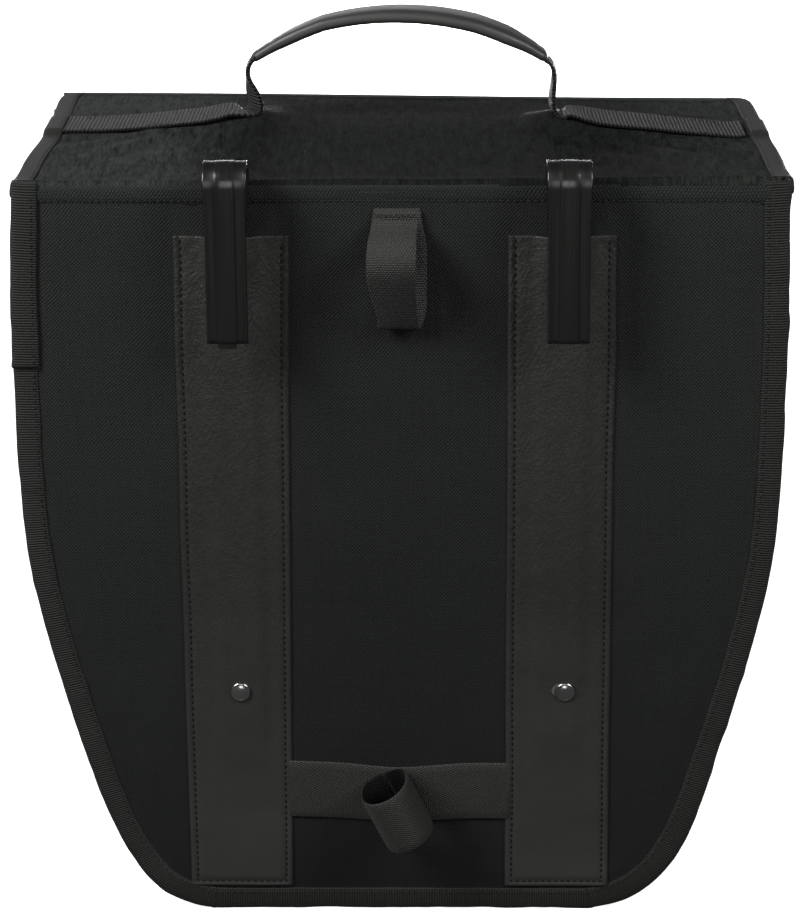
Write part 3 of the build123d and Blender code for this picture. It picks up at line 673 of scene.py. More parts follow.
def hook_plastic():
    """Glossy extruded plastic: drawn along its length, duller in the two grooves, and darker there as painted shade."""
    t = Tree("hook_gloss", (0.008, 0.0085, 0.0075), 0.27, Specular_IOR_Level=0.5)
    u, v, uv = t.uv()
    place = t.place()
    m = t.noise(t.scaled(place, 1300.0, 40.0, 9.0), 1.0, 3.0)
    f = t.noise(place, 700.0, 3.0)
    # deep marks the two grooves: rougher there, and darker as painted shade
    deep = t.math("MULTIPLY", v, 1.4, clamp=True)
    t.rough(t.math("ADD", t.math("ADD", t.math("MULTIPLY", m, 0.16), 0.17), t.math("MULTIPLY", deep, 0.10)))
    shade = t.math("SUBTRACT", t.math("ADD", t.math("MULTIPLY", m, 0.6), 0.28), t.math("MULTIPLY", deep, 0.36), clamp=True)
    t.color(t.ramp(shade, [(0.0, (0, 0, 0)), (1.0, (0.0095, 0.0105, 0.0090))]))
    t.normal(t.bump(t.math("ADD", f, t.math("MULTIPLY", m, 0.5)), 0.00002))
    return t.m


M_HOOK = hook_plastic()
M_STEEL = metal("zinc_plated_steel", (0.42, 0.42, 0.43), 0.35)
M_RIVET = metal("nickel", (0.34, 0.34, 0.335), 0.16)
M_GRIP = plastic("grip_rubber", (0.0215, 0.0215, 0.0207), 0.46, bump=0.00008, scale=1400.0, spec=0.5)
M_BUCKLE = plastic("buckle_acetal", (0.014, 0.014, 0.0145), 0.38, bump=0.00005, scale=1600.0)
M_BOARD = plastic("board_polyethylene", (0.45, 0.46, 0.45), 0.45, bump=0.00008, scale=500.0)

# ------------------------------------------------------------------ camera, floor and light
CAM_F, CAM_H = 2600.0, 915.0
tau, yaw, roll = math.radians(21.4), math.atan(14.0 / 1171.5), math.radians(-0.25)
cam_pos = (14.0, -HALF - 1171.5, BAG_H + 324.0)
F = Vector((-math.sin(yaw) * math.cos(tau), math.cos(yaw) * math.cos(tau), -math.sin(tau)))
R = Vector((math.cos(yaw), math.sin(yaw), 0.0))
U = R.cross(F)
R, U = R * math.cos(roll) + U * math.sin(roll), -R * math.sin(roll) + U * math.cos(roll)
cam_data = bpy.data.cameras.new("camera")
cam = bpy.data.objects.new("camera", cam_data)
scene.collection.objects.link(cam)
cam_data.sensor_width = 36.0
cam_data.lens = CAM_F * 36.0 / CAM_H
m = Matrix.Identity(4)
for i in range(3):
    m[i][0], m[i][1], m[i][2] = R[i], U[i], -F[i]
p = row(cam_pos)
m[0][3], m[1][3], m[2][3] = p
cam.matrix_world = m
cam_data.clip_end = 50
scene.camera = cam
scene.view_settings.view_transform = "Standard"

world = bpy.data.worlds.new("studio")
world.use_nodes = True
world.node_tree.nodes["Background"].inputs[0].default_value = (1, 1, 1, 1)
world.node_tree.nodes["Background"].inputs[1].default_value = 0.10
scene.world = world

floor_mat = bpy.data.materials.new("floor_white")
floor_mat.use_nodes = True
fb = floor_mat.node_tree.nodes["Principled BSDF"]
fb.inputs["Base Color"].default_value = (0.6, 0.6, 0.6, 1)
fb.inputs["Roughness"].default_value = 0.9
fb.inputs["Specular IOR Level"].default_value = 0.1
fb.inputs["Emission Color"].default_value = (1, 1, 1, 1)
fb.inputs["Emission Strength"].default_value = 0.86
me = bpy.data.meshes.new("floor")
me.from_pydata([(-30, -30, -0.0002), (30, -30, -0.0002), (30, 30, -0.0002), (-30, 30, -0.0002)], [], [(0, 1, 2, 3)])
me.materials.append(floor_mat)
floor = bpy.data.objects.new("floor", me)
scene.collection.objects.link(floor)
floor.visible_glossy = False      # the studio's floor throws little light back on to the bag
floor.visible_diffuse = False


def area_light(name, at, aim, size, power, color=(1, 1, 1)):
    d = bpy.data.lights.new(name, "AREA")
    d.shape = "RECTANGLE"
    d.size, d.size_y = size
    d.energy = power
    d.color = color
    o = bpy.data.objects.new(name, d)
    scene.collection.objects.link(o)
    o.location = at
    o.rotation_euler = (Vector(aim) - Vector(at)).to_track_quat("-Z", "Y").to_euler()
    return o


area_light("key_left", (-1.2, -0.85, 1.45), (-0.05, 0.05, 0.26), (0.6, 0.9), 50)
area_light("key_right", (1.2, -0.85, 1.4), (0.05, 0.05, 0.26), (0.6, 0.9), 24)
area_light("rim", (-0.55, 2.6, 0.98), (0, 0.1, 0.38), (2.2, 0.30), 12)
area_light("front", (0.0, -2.4, 0.85), (0, 0, 0.25), (0.8, 1.1), 10)
# the far side's own light, kept lower than the flap so that it doesn't reach its top
area_light("far_side", (0.35, 2.3, 0.17), (0, 0.16, 0.2), (2.6, 0.3), 85).visible_camera = False
area_light("left_side", (-2.1, 0.85, 0.17), (0, 0.08, 0.2), (0.9, 0.3), 8).visible_camera = False
area_light("right_side", (2.1, 0.85, 0.17), (0, 0.08, 0.2), (0.9, 0.3), 9).visible_camera = False

# ------------------------------------------------------------------ back panel
def panel_bump(x, z):
    """How far the back panel's cloth stands off its board, outwards."""
    d = 0.55 * noise2(x, z, 62, 1) + 0.22 * noise2(x, z, 23, 2)
    edge = np.minimum(half_width(z, 12.0) - np.abs(x), z - 12.0)
    d = d * smooth01(edge / 25) + 0.5 * smooth01(edge / 10)
    return d


def back_face(x, z):
    return BACK - 0.3 - panel_bump(x, z)


def build_back_panel():
    zs = np.concatenate([np.linspace(1.0, 14, 8), np.arange(16.5, 384.2, 2.6), [384.2]])
    cols = np.linspace(-1, 1, 150)
    hw = half_width(zs, 1.6)
    x = hw[:, None] * cols[None, :]
    z = np.broadcast_to(zs[:, None], x.shape)
    y = back_face(x, z)
    g = np.stack([x, y, z], -1)
    uv = np.stack([x, z], -1)
    o = slab("back_panel_cloth", g, 1.0, uv=uv, mat=M_PANEL, normal=np.broadcast_to(np.array([0, -1.0, 0]), g.shape))
    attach(o, "bag")
    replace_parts(o, "back_panel")
    return o


back_cloth = build_back_panel()


# ------------------------------------------------------------------ binding of the back and the front seams
def tape_section(face, back, width, inner, over=0.0):
    """Section of tape folded round a seam as (inset, y): face is its outer y, back its inner y; negative y is outwards."""
    s = 1 if back > face else -1
    t = 0.7
    return np.array([
        (width, face + s * 0.75), (width + 0.1, face + s * 0.35), (width - 0.5, face + s * 0.05), (width - 2.2, face - s * 0.10),
        (width * 0.62, face - s * 0.22), (width * 0.4, face - s * 0.28), (3.2, face - s * 0.22), (1.6, face - s * 0.02),
        (0.5, face + s * 0.45), (0.0 - over, face + s * 1.3), (-0.05 - over, (face + back) / 2), (0.0 - over, back - s * 1.3), (0.5, back - s * 0.45),
        (1.6, back + s * 0.02), (3.2, back + s * 0.2), (inner * 0.6, back + s * 0.24), (inner - 0.6, back + s * 0.05), (inner, back - s * 0.3),
        (inner - 0.1, back - s * 0.75), (1.6, back - s * 0.8), (1.5, face + s * 0.8),
    ])


def tape_along(name, section, mat, lo=None, hi=None, seed=3, wave=0.35, slot="binding_tape", bumps=(), top=386.0, extra=0.0):
    """Tape round the panel's edge, with the small waves that sewing leaves."""
    pts, nrm, s = EDGE, EDGE_N, EDGE_S
    keep = np.ones(len(pts), bool)
    keep &= pts[:, 1] <= top
    if lo is not None:
        keep &= (s >= lo) & (s <= hi)
    pts, nrm, s = pts[keep], nrm[keep], s[keep]
    sec = np.broadcast_to(section, (len(pts),) + section.shape).copy()
    w = wave * noise2(s, s * 0, 16, seed) + 0.5 * wave * noise2(s, s * 0, 6, seed + 1)
    for at, height, width in bumps:
        w = w - height * np.exp(-(((s - at) / width) ** 2))
    outer = smooth01((8.0 - section[:, 0]) / 8.0)
    sec[:, :, 0] += w[:, None] * (0.35 + 0.65 * outer)[None, :]
    innerw = 0.3 * noise2(s, s * 0, 11, seed + 5)
    sec[:, :, 0] += innerw[:, None] * (1 - outer)[None, :]
    puff = 0.18 * noise2(s, s * 0, 9, seed + 7)
    sign = np.where(section[:, 1] < section[:, 1].mean(), -1.0, 1.0)
    sec[:, :, 1] += puff[:, None] * sign[None, :] + extra * sign[None, :]
    centre = np.stack([pts[:, 0], np.zeros(len(pts)), pts[:, 1]], 1)
    across = np.stack([nrm[:, 0], np.zeros(len(pts)), nrm[:, 1]], 1)
    up = np.broadcast_to(np.array([0, 1.0, 0]), centre.shape)
    v = np.concatenate([[0], np.cumsum(np.linalg.norm(np.diff(section, axis=0), axis=1))])
    return sweep(name, centre, across, up, sec, uv_v=v, mat=mat, slot=slot, length0=float(s[0]))


TOTAL = EDGE_S[-1]
back_sec = tape_section(BACK - 1.05, BACK + 3.0, 12.0, 10.4)
back_tape = tape_along("back_seam_tape", back_sec, M_TAPE, top=389.5,
                       bumps=((6.0, 1.1, 6.0), (69.0, 0.6, 6.0), (TOTAL - 2.0, -1.3, 22.0), (313.0, 0.35, 5.0),
                              (s_at(14, 1), 1.7, 32.0), (s_at(42, 1), 1.0, 30.0), (s_at(10, -1), 1.5, 26.0)))
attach(back_tape, "bag")
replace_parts(back_tape, "back_binding")

front_sec = tape_section(HALF + 1.05, HALF - 3.0, 12.0, 10.4)
front_tape = tape_along("front_seam_tape", front_sec, M_TAPE, seed=23, top=386.5)
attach(front_tape, "bag")
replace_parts(front_tape, "front_binding")

# the tape's ends overlap down the upper left of the back seam
over_sec = tape_section(BACK - 1.95, BACK + 3.7, 12.6, 10.6, over=0.35)
over_tape = tape_along("back_seam_tape_overlap", over_sec, M_TAPE, lo=TOTAL - 92.0, hi=TOTAL, seed=41, wave=0.25, top=389.4,
                       bumps=((TOTAL - 91.0, 0.6, 2.2), (TOTAL - 2.0, -1.3, 22.0), (TOTAL - 40.0, -0.4, 30.0)))
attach(over_tape, "bag")
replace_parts(over_tape, "binding_overlap")


def seam_line(inset, y, lo=0.0, hi=None, top=383.0):
    pts = edge_points(inset)
    keep = (pts[:, 1] <= top) & (EDGE_S >= lo) & (EDGE_S <= (hi or TOTAL))
    pts = pts[keep]
    return np.stack([pts[:, 0], np.full(len(pts), y), pts[:, 1]], 1)


st = stitches("back_seam_thread", seam_line(9.9, BACK - 1.22, hi=TOTAL - 93), (0, -1, 0), 2.3, 0.9, 0.27, M_THREAD)
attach(st, "bag")
st = stitches("back_seam_thread_overlap", seam_line(10.3, BACK - 2.12, lo=TOTAL - 90), (0, -1, 0), 2.3, 0.9, 0.27, M_THREAD)
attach(st, "bag")
st = stitches("front_seam_thread", seam_line(9.9, HALF + 1.22, top=380), (0, 1, 0), 2.3, 0.9, 0.27, M_THREAD)
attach(st, "bag")


# ------------------------------------------------------------------ leatherette strips
STRIP_TOP, STRIP_BOTTOM = 362.8, 13.3
STRIPS = (((-106.4, -52.0), (-108.7, -56.4)), ((51.0, 102.0), (53.3, 106.0)))
RIVET_X, RIVET_Z = (-80.3, 82.0), 126.0


def strip_height(i, x, z, e):
    """How far the strip's face stands off the panel: the hook's strap lies under it."""
    hx = HOOK_X[i]
    h = 1.25 + 0.0 * x
    ridge = 1.0 + 1.7 * smooth01((z - 330) / 25)
    body = smooth01((z - 76) / 32)
    h = h + ridge * body * (1 - smooth01((np.abs(x - hx) - 8.5) / 7.0))
    h = h + 0.22 * noise2(x, z, 30, 11 + i) + 0.12 * noise2(x, z, 11, 13 + i)
    # the seam pulls the edge down
    h = h - 0.55 * np.exp(-(((e - 3.4) / 0.9) ** 2))
    h = h * smooth01((e + 0.35) / 1.2)
    rx = RIVET_X[i]
    h = h - 0.5 * np.exp(-(((x - rx) ** 2 + (z - RIVET_Z) ** 2) / 8.5**2))
    return h


def build_strip(i):
    name = ("strip_left", "strip_right")[i]
    (tl, tr), (bl, br) = STRIPS[i]
    n = 200
    zs = np.concatenate([np.linspace(STRIP_BOTTOM, STRIP_BOTTOM + 4, 6), np.linspace(STRIP_BOTTOM + 5.5, STRIP_TOP - 4, n), np.linspace(STRIP_TOP - 3, STRIP_TOP, 5)])
    cols = np.concatenate([np.linspace(0, 0.08, 9)[:-1], np.linspace(0.08, 0.92, 34), np.linspace(0.92, 1, 9)[1:]])
    t = (zs - STRIP_BOTTOM) / (STRIP_TOP - STRIP_BOTTOM)
    wav = 0.35 * noise2(zs, zs * 0, 45, 31 + i)
    left = bl + (tl - bl) * t + wav
    right = br + (tr - br) * t + 0.35 * noise2(zs, zs * 0, 52, 37 + i)
    x = left[:, None] + (right - left)[:, None] * cols[None, :]
    z = np.broadcast_to(zs[:, None], x.shape).copy()
    z[-6:, :] += 0.0
    e = np.minimum(np.minimum(x - left[:, None], right[:, None] - x), z - STRIP_BOTTOM)
    h = strip_height(i, x, z, e)
    y = back_face(x, z) - h
    g = np.stack([x, y, z], -1)
    th = np.minimum(1.2, h + 0.4)
    o = slab(f"{name}_cover", g, th, uv=np.stack([x, z], -1), mat=M_LEATHER, normal=np.broadcast_to(np.array([0, -1.0, 0]), g.shape))
    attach(o, "bag")
    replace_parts(o, name)
    # thread down both sides and along the bottom
    q = np.linspace(0, 1, 160)
    zz = STRIP_TOP - 1.0 - (STRIP_TOP - STRIP_BOTTOM - 4.3) * q
    tt = (zz - STRIP_BOTTOM) / (STRIP_TOP - STRIP_BOTTOM)
    lx = bl + (tl - bl) * tt + 0.35 * noise2(zz, zz * 0, 45, 31 + i) + 3.4
    rx = br + (tr - br) * tt + 0.35 * noise2(zz, zz * 0, 52, 37 + i) - 3.4
    bx = np.linspace(lx[-1] + 1.5, rx[-1] - 1.5, 40)
    bz = np.full(40, zz[-1])
    line = np.concatenate([np.stack([lx, zz], 1), np.stack([bx, bz], 1), np.stack([rx, zz], 1)[::-1]])
    hh = strip_height(i, line[:, 0], line[:, 1], np.full(len(line), 3.4))
    pts = np.stack([line[:, 0], back_face(line[:, 0], line[:, 1]) - hh, line[:, 1]], 1)
    s = stitches(f"{name}_thread", pts, (0, -1, 0), 2.3, 1.0, 0.42, M_STRIP_THREAD)
    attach(s, "bag")


build_strip(0)
build_strip(1)


# ------------------------------------------------------------------ rivets
def lathe(name, profile, centre, axis, mat, n=40):
    """A turned piece: profile points (radius, along the axis)."""
    axis = Vector(axis).normalized()
    a = axis.orthogonal().normalized()
    b = axis.cross(a)
    verts, faces = [], []
    for r, h in profile:
        for k in range(n):
            t = 2 * math.pi * k / n
            q = Vector(centre) + axis * h + (a * math.cos(t) + b * math.sin(t)) * r
            verts.append(tuple(q))
    m_ = len(profile)
    for i in range(m_ - 1):
        for k in range(n):
            faces.append((i * n + k, i * n + (k + 1) % n, (i + 1) * n + (k + 1) % n, (i + 1) * n + k))
    faces.append(tuple(range(n)))
    faces.append(tuple(reversed(range((m_ - 1) * n, m_ * n))))
    return outward(new_mesh(name, np.array(verts), faces, np.zeros((len(verts), 2)), mat=mat))


first = None
for i, rx in enumerate(RIVET_X):
    face = float(back_face(np.array([rx]), np.array([RIVET_Z]))[0] - strip_height(i, np.array([rx]), np.array([RIVET_Z]), np.array([20.0]))[0])
    prof = [(0.05, -2.15), (1.2, -2.12), (2.3, -2.0), (3.1, -1.8), (3.7, -1.55), (3.95, -1.42), (4.15, -1.5), (4.45, -1.55), (4.8, -1.35), (5.05, -0.9), (5.2, -0.4), (5.3, 0.1), (5.2, 0.35), (2.0, 0.4), (2.0, 11.5), (3.2, 11.6), (3.1, 12.1), (2.4, 12.4), (0.05, 12.4)]
    cap = lathe(f"rivet_{('left', 'right')[i]}", prof, (rx, face, RIVET_Z), (0, 1, 0), M_RIVET)
    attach(cap, "bag")
    if i == 0:
        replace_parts(cap, "rivets")

# ------------------------------------------------------------------ hooks: extruded sleeve bent over the rack
def build_hook(i):
    end = ("left", "right")[i]
    hx = HOOK_X[i]
    lean = (0.0045, 0.010)[i]
    r_mid = 8.8
    # path of the sleeve's middle: up the outer leg, over the bend, down the inner leg
    zlow = 317.0
    leg = [(HOOK_YC - r_mid, z) for z in np.arange(zlow, HOOK_ZC, 2.0)]
    bend = [(HOOK_YC - r_mid * math.cos(t), HOOK_ZC + r_mid * math.sin(t)) for t in np.linspace(0, math.pi, 26)]
    inner = [(HOOK_YC + r_mid, z) for z in np.arange(HOOK_ZC - 2, 371.0, -2.5)]
    path = np.array(leg + bend + inner)
    n = len(path)
    tan = np.gradient(path, axis=0)
    tan /= np.linalg.norm(tan, axis=1)[:, None]
    out2 = np.stack([-tan[:, 1], tan[:, 0]], 1)     # away from the tube
    centre = np.stack([hx + lean * (HOOK_ZC - path[:, 1]) * (1 if i else -1) * np.ones(n), path[:, 0], path[:, 1]], 1)
    up = np.stack([np.zeros(n), out2[:, 0], out2[:, 1]], 1)
    across = np.broadcast_to(np.array([1.0, 0, 0]), centre.shape)
    on_bend = smooth01((path[:, 1] - (HOOK_ZC - 12)) / 16)
    wlow = (19.3, 19.7)[i]
    width = wlow - 0.3 * np.sin(math.pi * np.clip((path[:, 1] - zlow) / (HOOK_ZC - zlow), 0, 1)) + 1.2 * on_bend
    w = width / 2
    sec = np.zeros((n, 30, 2))
    for k in range(n):
        W = w[k]
        b = on_bend[k]
        rib = 2.02 - 0.14 * b
        low = 1.42 + 0.22 * b
        lip = 1.72 + 0.06 * b
        pts = [
            (-W, -1.1), (-W, 0.95), (-W + 0.14, 1.40), (-W + 0.42, lip - 0.04), (-W + 0.85, lip), (-W + 1.3, (lip + low) / 2), (-W + 1.8, low),
            (-5.0, low), (-4.6, low + 0.08), (-4.25, rib - 0.12), (-3.8, rib), (-1.4, rib + 0.03), (0.0, rib + 0.04), (1.4, rib + 0.03), (3.8, rib), (4.25, rib - 0.12), (4.6, low + 0.08), (5.0, low),
            (W - 1.8, low), (W - 1.3, (lip + low) / 2), (W - 0.85, lip), (W - 0.42, lip - 0.04), (W - 0.14, 1.40), (W, 0.95), (W, -1.1),
            (W - 0.35, -1.65), (W - 0.9, -1.8), (0.0, -1.8), (-W + 0.9, -1.8), (-W + 0.35, -1.65),
        ]
        sec[k] = pts
    # how far each section point lies in a groove, read by the material for roughness and painted shade
    deep = np.array([0, 0, 0, 0, 0, 0.6, 1, 1, 0.9, 0.1, 0, 0, 0, 0, 0, 0.1, 0.9, 1, 1, 0.6, 0, 0, 0, 0, 0, 0, 0, 0, 0, 0], float)
    o = sweep(f"hook_{end}_sleeve", centre, across, up, sec, uv_v=deep, mat=M_HOOK, slot="hook_plastic")
    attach(o, "bag")
    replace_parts(o, f"hook_sleeve_{end}")
    NODES[f"hook_strap_{end}"].data.materials.clear()
    NODES[f"hook_strap_{end}"].data.materials.append(M_STEEL)
    # the middle rib is an inlay that runs a little past the sleeve's cut end
    if i == 0:
        zz = np.arange(314.6, 318.5, 0.8)
        c = np.stack([np.full(len(zz), centre[0, 0]), np.full(len(zz), HOOK_YC - r_mid), zz], 1)
        b = np.array([(-4.4, -0.8), (-4.4, 1.7), (-4.0, 1.95), (3.6, 1.95), (4.0, 1.7), (4.0, -0.8)])
        t = sweep("hook_left_inlay_end", c, np.broadcast_to(np.array([1.0, 0, 0]), c.shape), np.broadcast_to(np.array([0, -1.0, 0]), c.shape), b, mat=M_HOOK, slot="hook_plastic")
        for poly in t.data.polygons:
            poly.use_smooth = False
        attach(t, "bag")


build_hook(0)
build_hook(1)


# ------------------------------------------------------------------ webbing loop under the fold
def build_upper_loop():
    z0 = BAG_H
    yz = [(-79.0, -9.9), (-79.9, -12.2), (-81.4, -15.4), (-86.6, -18.2), (-94.4, -21.0), (-100.2, -25.4), (-102.6, -31.0), (-101.6, -37.0), (-98.0, -45.0), (-93.9, -53.0), (-89.6, -61.0),
          (-85.6, -67.0), (-82.2, -66.6), (-80.6, -60.0), (-80.6, -45.0), (-80.4, -30.0), (-79.9, -18.0), (-79.0, -11.0)]
    line = catmull([(y, z0 + z) for y, z in yz], 1.5)
    n = len(line)
    t = np.linspace(0, 1, n)
    x = -0.8 - 2.6 * np.sin(math.pi * np.clip(t / 0.5, 0, 1)) ** 0.8 + 0.3 * smooth01((t - 0.3) / 0.2) + 2.6 * smooth01((t - 0.53) / 0.12) * (1 - smooth01((t - 0.86) / 0.13))
    centre = np.stack([x, line[:, 0], line[:, 1]], 1)
    width = 21.9 + 1.4 * np.exp(-(((t - 0.24) / 0.12) ** 2)) - 2.6 * np.exp(-(((t - 0.50) / 0.10) ** 2))
    o = ribbon("upper_loop_webbing", centre, np.array([-1.0, 0, 0]), width, 1.5, M_WEB, slot="webbing")
    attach(o, "bag")
    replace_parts(o, "upper_loop")
    s = stitches("upper_loop_thread", [(-11.2, -81.7, z0 - 12.6), (9.6, -81.7, z0 - 12.6)], (0, -1, 0.2), 2.0, 0.8, 0.26, M_THREAD)
    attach(s, "bag")


build_upper_loop()


# ------------------------------------------------------------------ lower strap with its loop
def build_lower_strap():
    xs = np.linspace(-57.0, 55.0, 96)
    pull = np.exp(-(((xs + 2.4) / 24.0) ** 2))
    z = 70.6 - 1.4 * (xs + 57) / 112 - 2.2 * pull
    y = back_face(xs, z) - 0.25 - 0.5 * pull - 0.15 * noise2(xs, xs * 0, 12, 51)
    o = ribbon("lower_strap_webbing", np.stack([xs, y, z], 1), np.array([0, 0, 1.0]), 32.0 - 0.8 * pull, 1.3, M_WEB_FLAT, slot="webbing")
    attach(o, "bag")
    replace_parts(o, "lower_strap")
    # the loop: a ring of the same webbing, sewn on by its flattened back, that hangs askew
    a, lean = math.radians(24.9), math.radians(3.0)
    down = np.array([math.sin(a) * math.cos(lean), math.sin(lean), -math.cos(a) * math.cos(lean)])
    ex = np.array([math.cos(a), 0.0, math.sin(a)])
    fwd = np.cross(down, ex)
    fwd *= -np.sign(fwd[1])
    mid = np.array([-2.1, -94.0, 65.8])
    ang = np.radians(np.linspace(-179, 179, 84))
    c_, s_ = np.cos(ang), np.sin(ang)
    ax = np.where(c_ < 0, np.sign(s_) * np.abs(s_) ** 0.72 * 11.6, s_ * 11.6)
    ay = np.where(c_ < 0, -np.abs(c_) ** 0.6 * 12.6, c_ * 13.6)
    ring = mid + np.outer(ax, ex) + np.outer(ay, fwd)
    ring = resample(catmull(ring, 1.0), 1.1)
    o = ribbon("lower_loop_ring", ring, np.broadcast_to(-down, ring.shape), 31.6, 1.4, M_WEB_FLAT, slot="webbing")
    # painted shadow: faces inside the loop's hollow take a near-black copy of its webbing
    o.data.materials.append(M_WEB_PAINTED_SHADOW)
    axis = mid[None, :]
    for p_ in o.data.polygons:
        q = np.array(p_.center) * 1000
        q[1] -= SEAM_Y
        r_ = q - mid
        r_ = r_ - down * (r_ @ down)
        nrm = np.array(p_.normal)
        if r_ @ nrm < -0.3 * np.linalg.norm(r_):
            p_.material_index = 1
    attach(o, "bag")


build_lower_strap()

# ------------------------------------------------------------------ flap
def flap_hw(v):
    return FLAP_HW0 + (FLAP_HW1 - FLAP_HW0) * np.clip(v, 0, FLAP_END) / FLAP_END


def droop(x, v):
    """The flap lies a little lower than its plane towards the front, most at the right."""
    t = np.clip(np.asarray(v, float) / FLAP_END, 0, 1.1)
    return -(0.1 + 3.3 * smooth01((np.asarray(x, float) + 175) / 350)) * t**1.2


def fold_swell(v):
    """The cloth stands up softly over the fold."""
    return 1.9 * np.exp(-(((np.asarray(v, float) - 1.5) / 6.5) ** 2))


EDGE_L = np.array([(-5, 181.8), (8, 181.6), (23, 180.6), (39, 180.2), (55, 179.1), (71, 177.5), (88, 177.0), (105, 176.5), (122, 176.7), (138, 177.1), (147, 176.7), (152, 174.9), (155.5, 171.9), (157.5, 169.2)])
EDGE_R = np.array([(-5, 183.8), (12.7, 184.0), (28, 183.7), (43.5, 183.6), (59, 183.2), (76, 182.4), (92, 182.1), (109.5, 181.7), (127, 181.3), (143, 180.8), (150, 179.6), (155.5, 175.6), (157.5, 173.0)])


def flap_edge_hw(v, side):
    """Half width of the flap's cloth as it really lies, with its soft front corners."""
    v = np.asarray(v, float)
    lw = catmull(EDGE_L, 1.5)
    rw = catmull(EDGE_R, 1.5)
    return np.where(np.asarray(side) > 0, np.interp(v, rw[:, 0], rw[:, 1]), np.interp(v, lw[:, 0], lw[:, 1])) - 0.2


def fold_tilt(x, v):
    """The fold stands a little higher at the right than at the left."""
    x, v = np.asarray(x, float), np.asarray(v, float)
    return (1.2 * smooth01((x - 10) / 120) - 0.4 * smooth01((-x - 40) / 100)) * smooth01((v + 6.5) / 4) * (1 - smooth01((v - 4) / 30))


def flap_rise(x, v):
    """How far the flap's cloth stands off its plane: pulled up by the handle, and creased beside it."""
    ax = np.abs(x)
    left = x < 0
    up = 4.6 * np.exp(-(((ax - 77) / 17.0) ** 2) - ((v - HV - 2) / 19.0) ** 2)
    up = up + 2.6 * np.exp(-(((ax - 92) / 36.0) ** 2) - ((v - HV) / 26.0) ** 2)
    # the webbing's ends lie on a long low swell, and the cloth between the risers is drawn up a little
    along = np.where(left, np.interp(ax, [78, 92, 107, 120, 132, 150, 166], [-0.4, 0.7, 1.7, 1.5, 1.0, 0.2, -0.3]), np.interp(ax, [78, 92, 103, 115, 127, 150, 167], [0.8, 1.8, 2.2, 2.2, 2.0, 0.6, -1.0]))
    up = up + along * smooth01((ax - 60) / 25) * np.exp(-(((v - HV - 1) / 24.0) ** 2))
    up = up + 2.6 * (1 - smooth01((ax - 50) / 60)) * np.where(v < HV, np.exp(-(((v - HV) / 48.0) ** 2)), np.exp(-(((v - HV) / 40.0) ** 2)))
    fl = fold(ax, v, (174, 55), (110, 88), 3.8, 1.5, 0.3)
    fl = fl + fold(ax, v, (164, 42), (98, 84), 6.5, 1.4, 0.35)
    fl = fl + fold(ax, v, (152, 18), (86, 74), 9.0, 1.4, 0.35)
    fl = fl - fold(ax, v, (172, 68), (124, 86), 4.0, 0.8, 0.35)
    fl = fl + fold(ax, v, (165, 124), (90, 112), 7.0, 1.3, 0.3)
    fr = fold(ax, v, (178, 50), (122, 80), 3.8, 1.7, 0.3)
    fr = fr + fold(ax, v, (176, 26), (110, 66), 7.5, 1.8, 0.35)
    fr = fr + fold(ax, v, (138, 12), (78, 66), 9.0, 1.2, 0.35)
    fr = fr - fold(ax, v, (178, 62), (126, 84), 4.6, 1.2, 0.35)
    fr = fr - fold(ax, v, (178, 40), (128, 62), 4.6, 0.7, 0.35)
    fr = fr + fold(ax, v, (165, 122), (90, 112), 7.0, 1.3, 0.3)
    up = up + np.where(left, fl, fr)
    up = up + 0.8 * noise2(x, v, 55, 61) + 0.35 * noise2(x, v, 20, 62)
    edge = np.minimum(flap_hw(v) - ax, np.minimum(v + 4.0, FLAP_END - v + 3.0))
    return up * smooth01((edge - 2.0) / 13.0) + droop(x, v)


def flap_line(step=2.4):
    """The flap's section from its hem on the back panel, over the fold, to its front edge: v, y, z."""
    pts, vs = [], []
    for v in np.arange(-8.6, -3.4, 0.65):
        sink = 0.85 * smooth01((-5.9 - v) / 2.2) + 0.25 * math.exp(-(((v + 6.3) / 0.7) ** 2))
        pts.append((BACK - 1.2 + sink, BAG_H + v)); vs.append(v)
    # the fold: a soft quarter turn
    r = 4.6
    cy_, cz_ = BACK - 1.2 + r, BAG_H - 1.6
    end = math.pi / 2 - SLOPE
    for t in np.linspace(0.05, end, 9):
        pts.append((cy_ - r * math.cos(t), cz_ + r * math.sin(t))); vs.append(-2.6 + 6.4 * t / end)
    last = pts[-1]
    vmax = FLAP_END + 0.2
    for v in np.concatenate([[5.2, 6.8, 8.6, 10.6], np.arange(13.0, vmax + 0.01, step)]):
        q = on_flap(0.0, v, 0.35 + fold_swell(v))
        pts.append((q[1], q[2])); vs.append(v)
    return np.array(vs), np.array(pts)


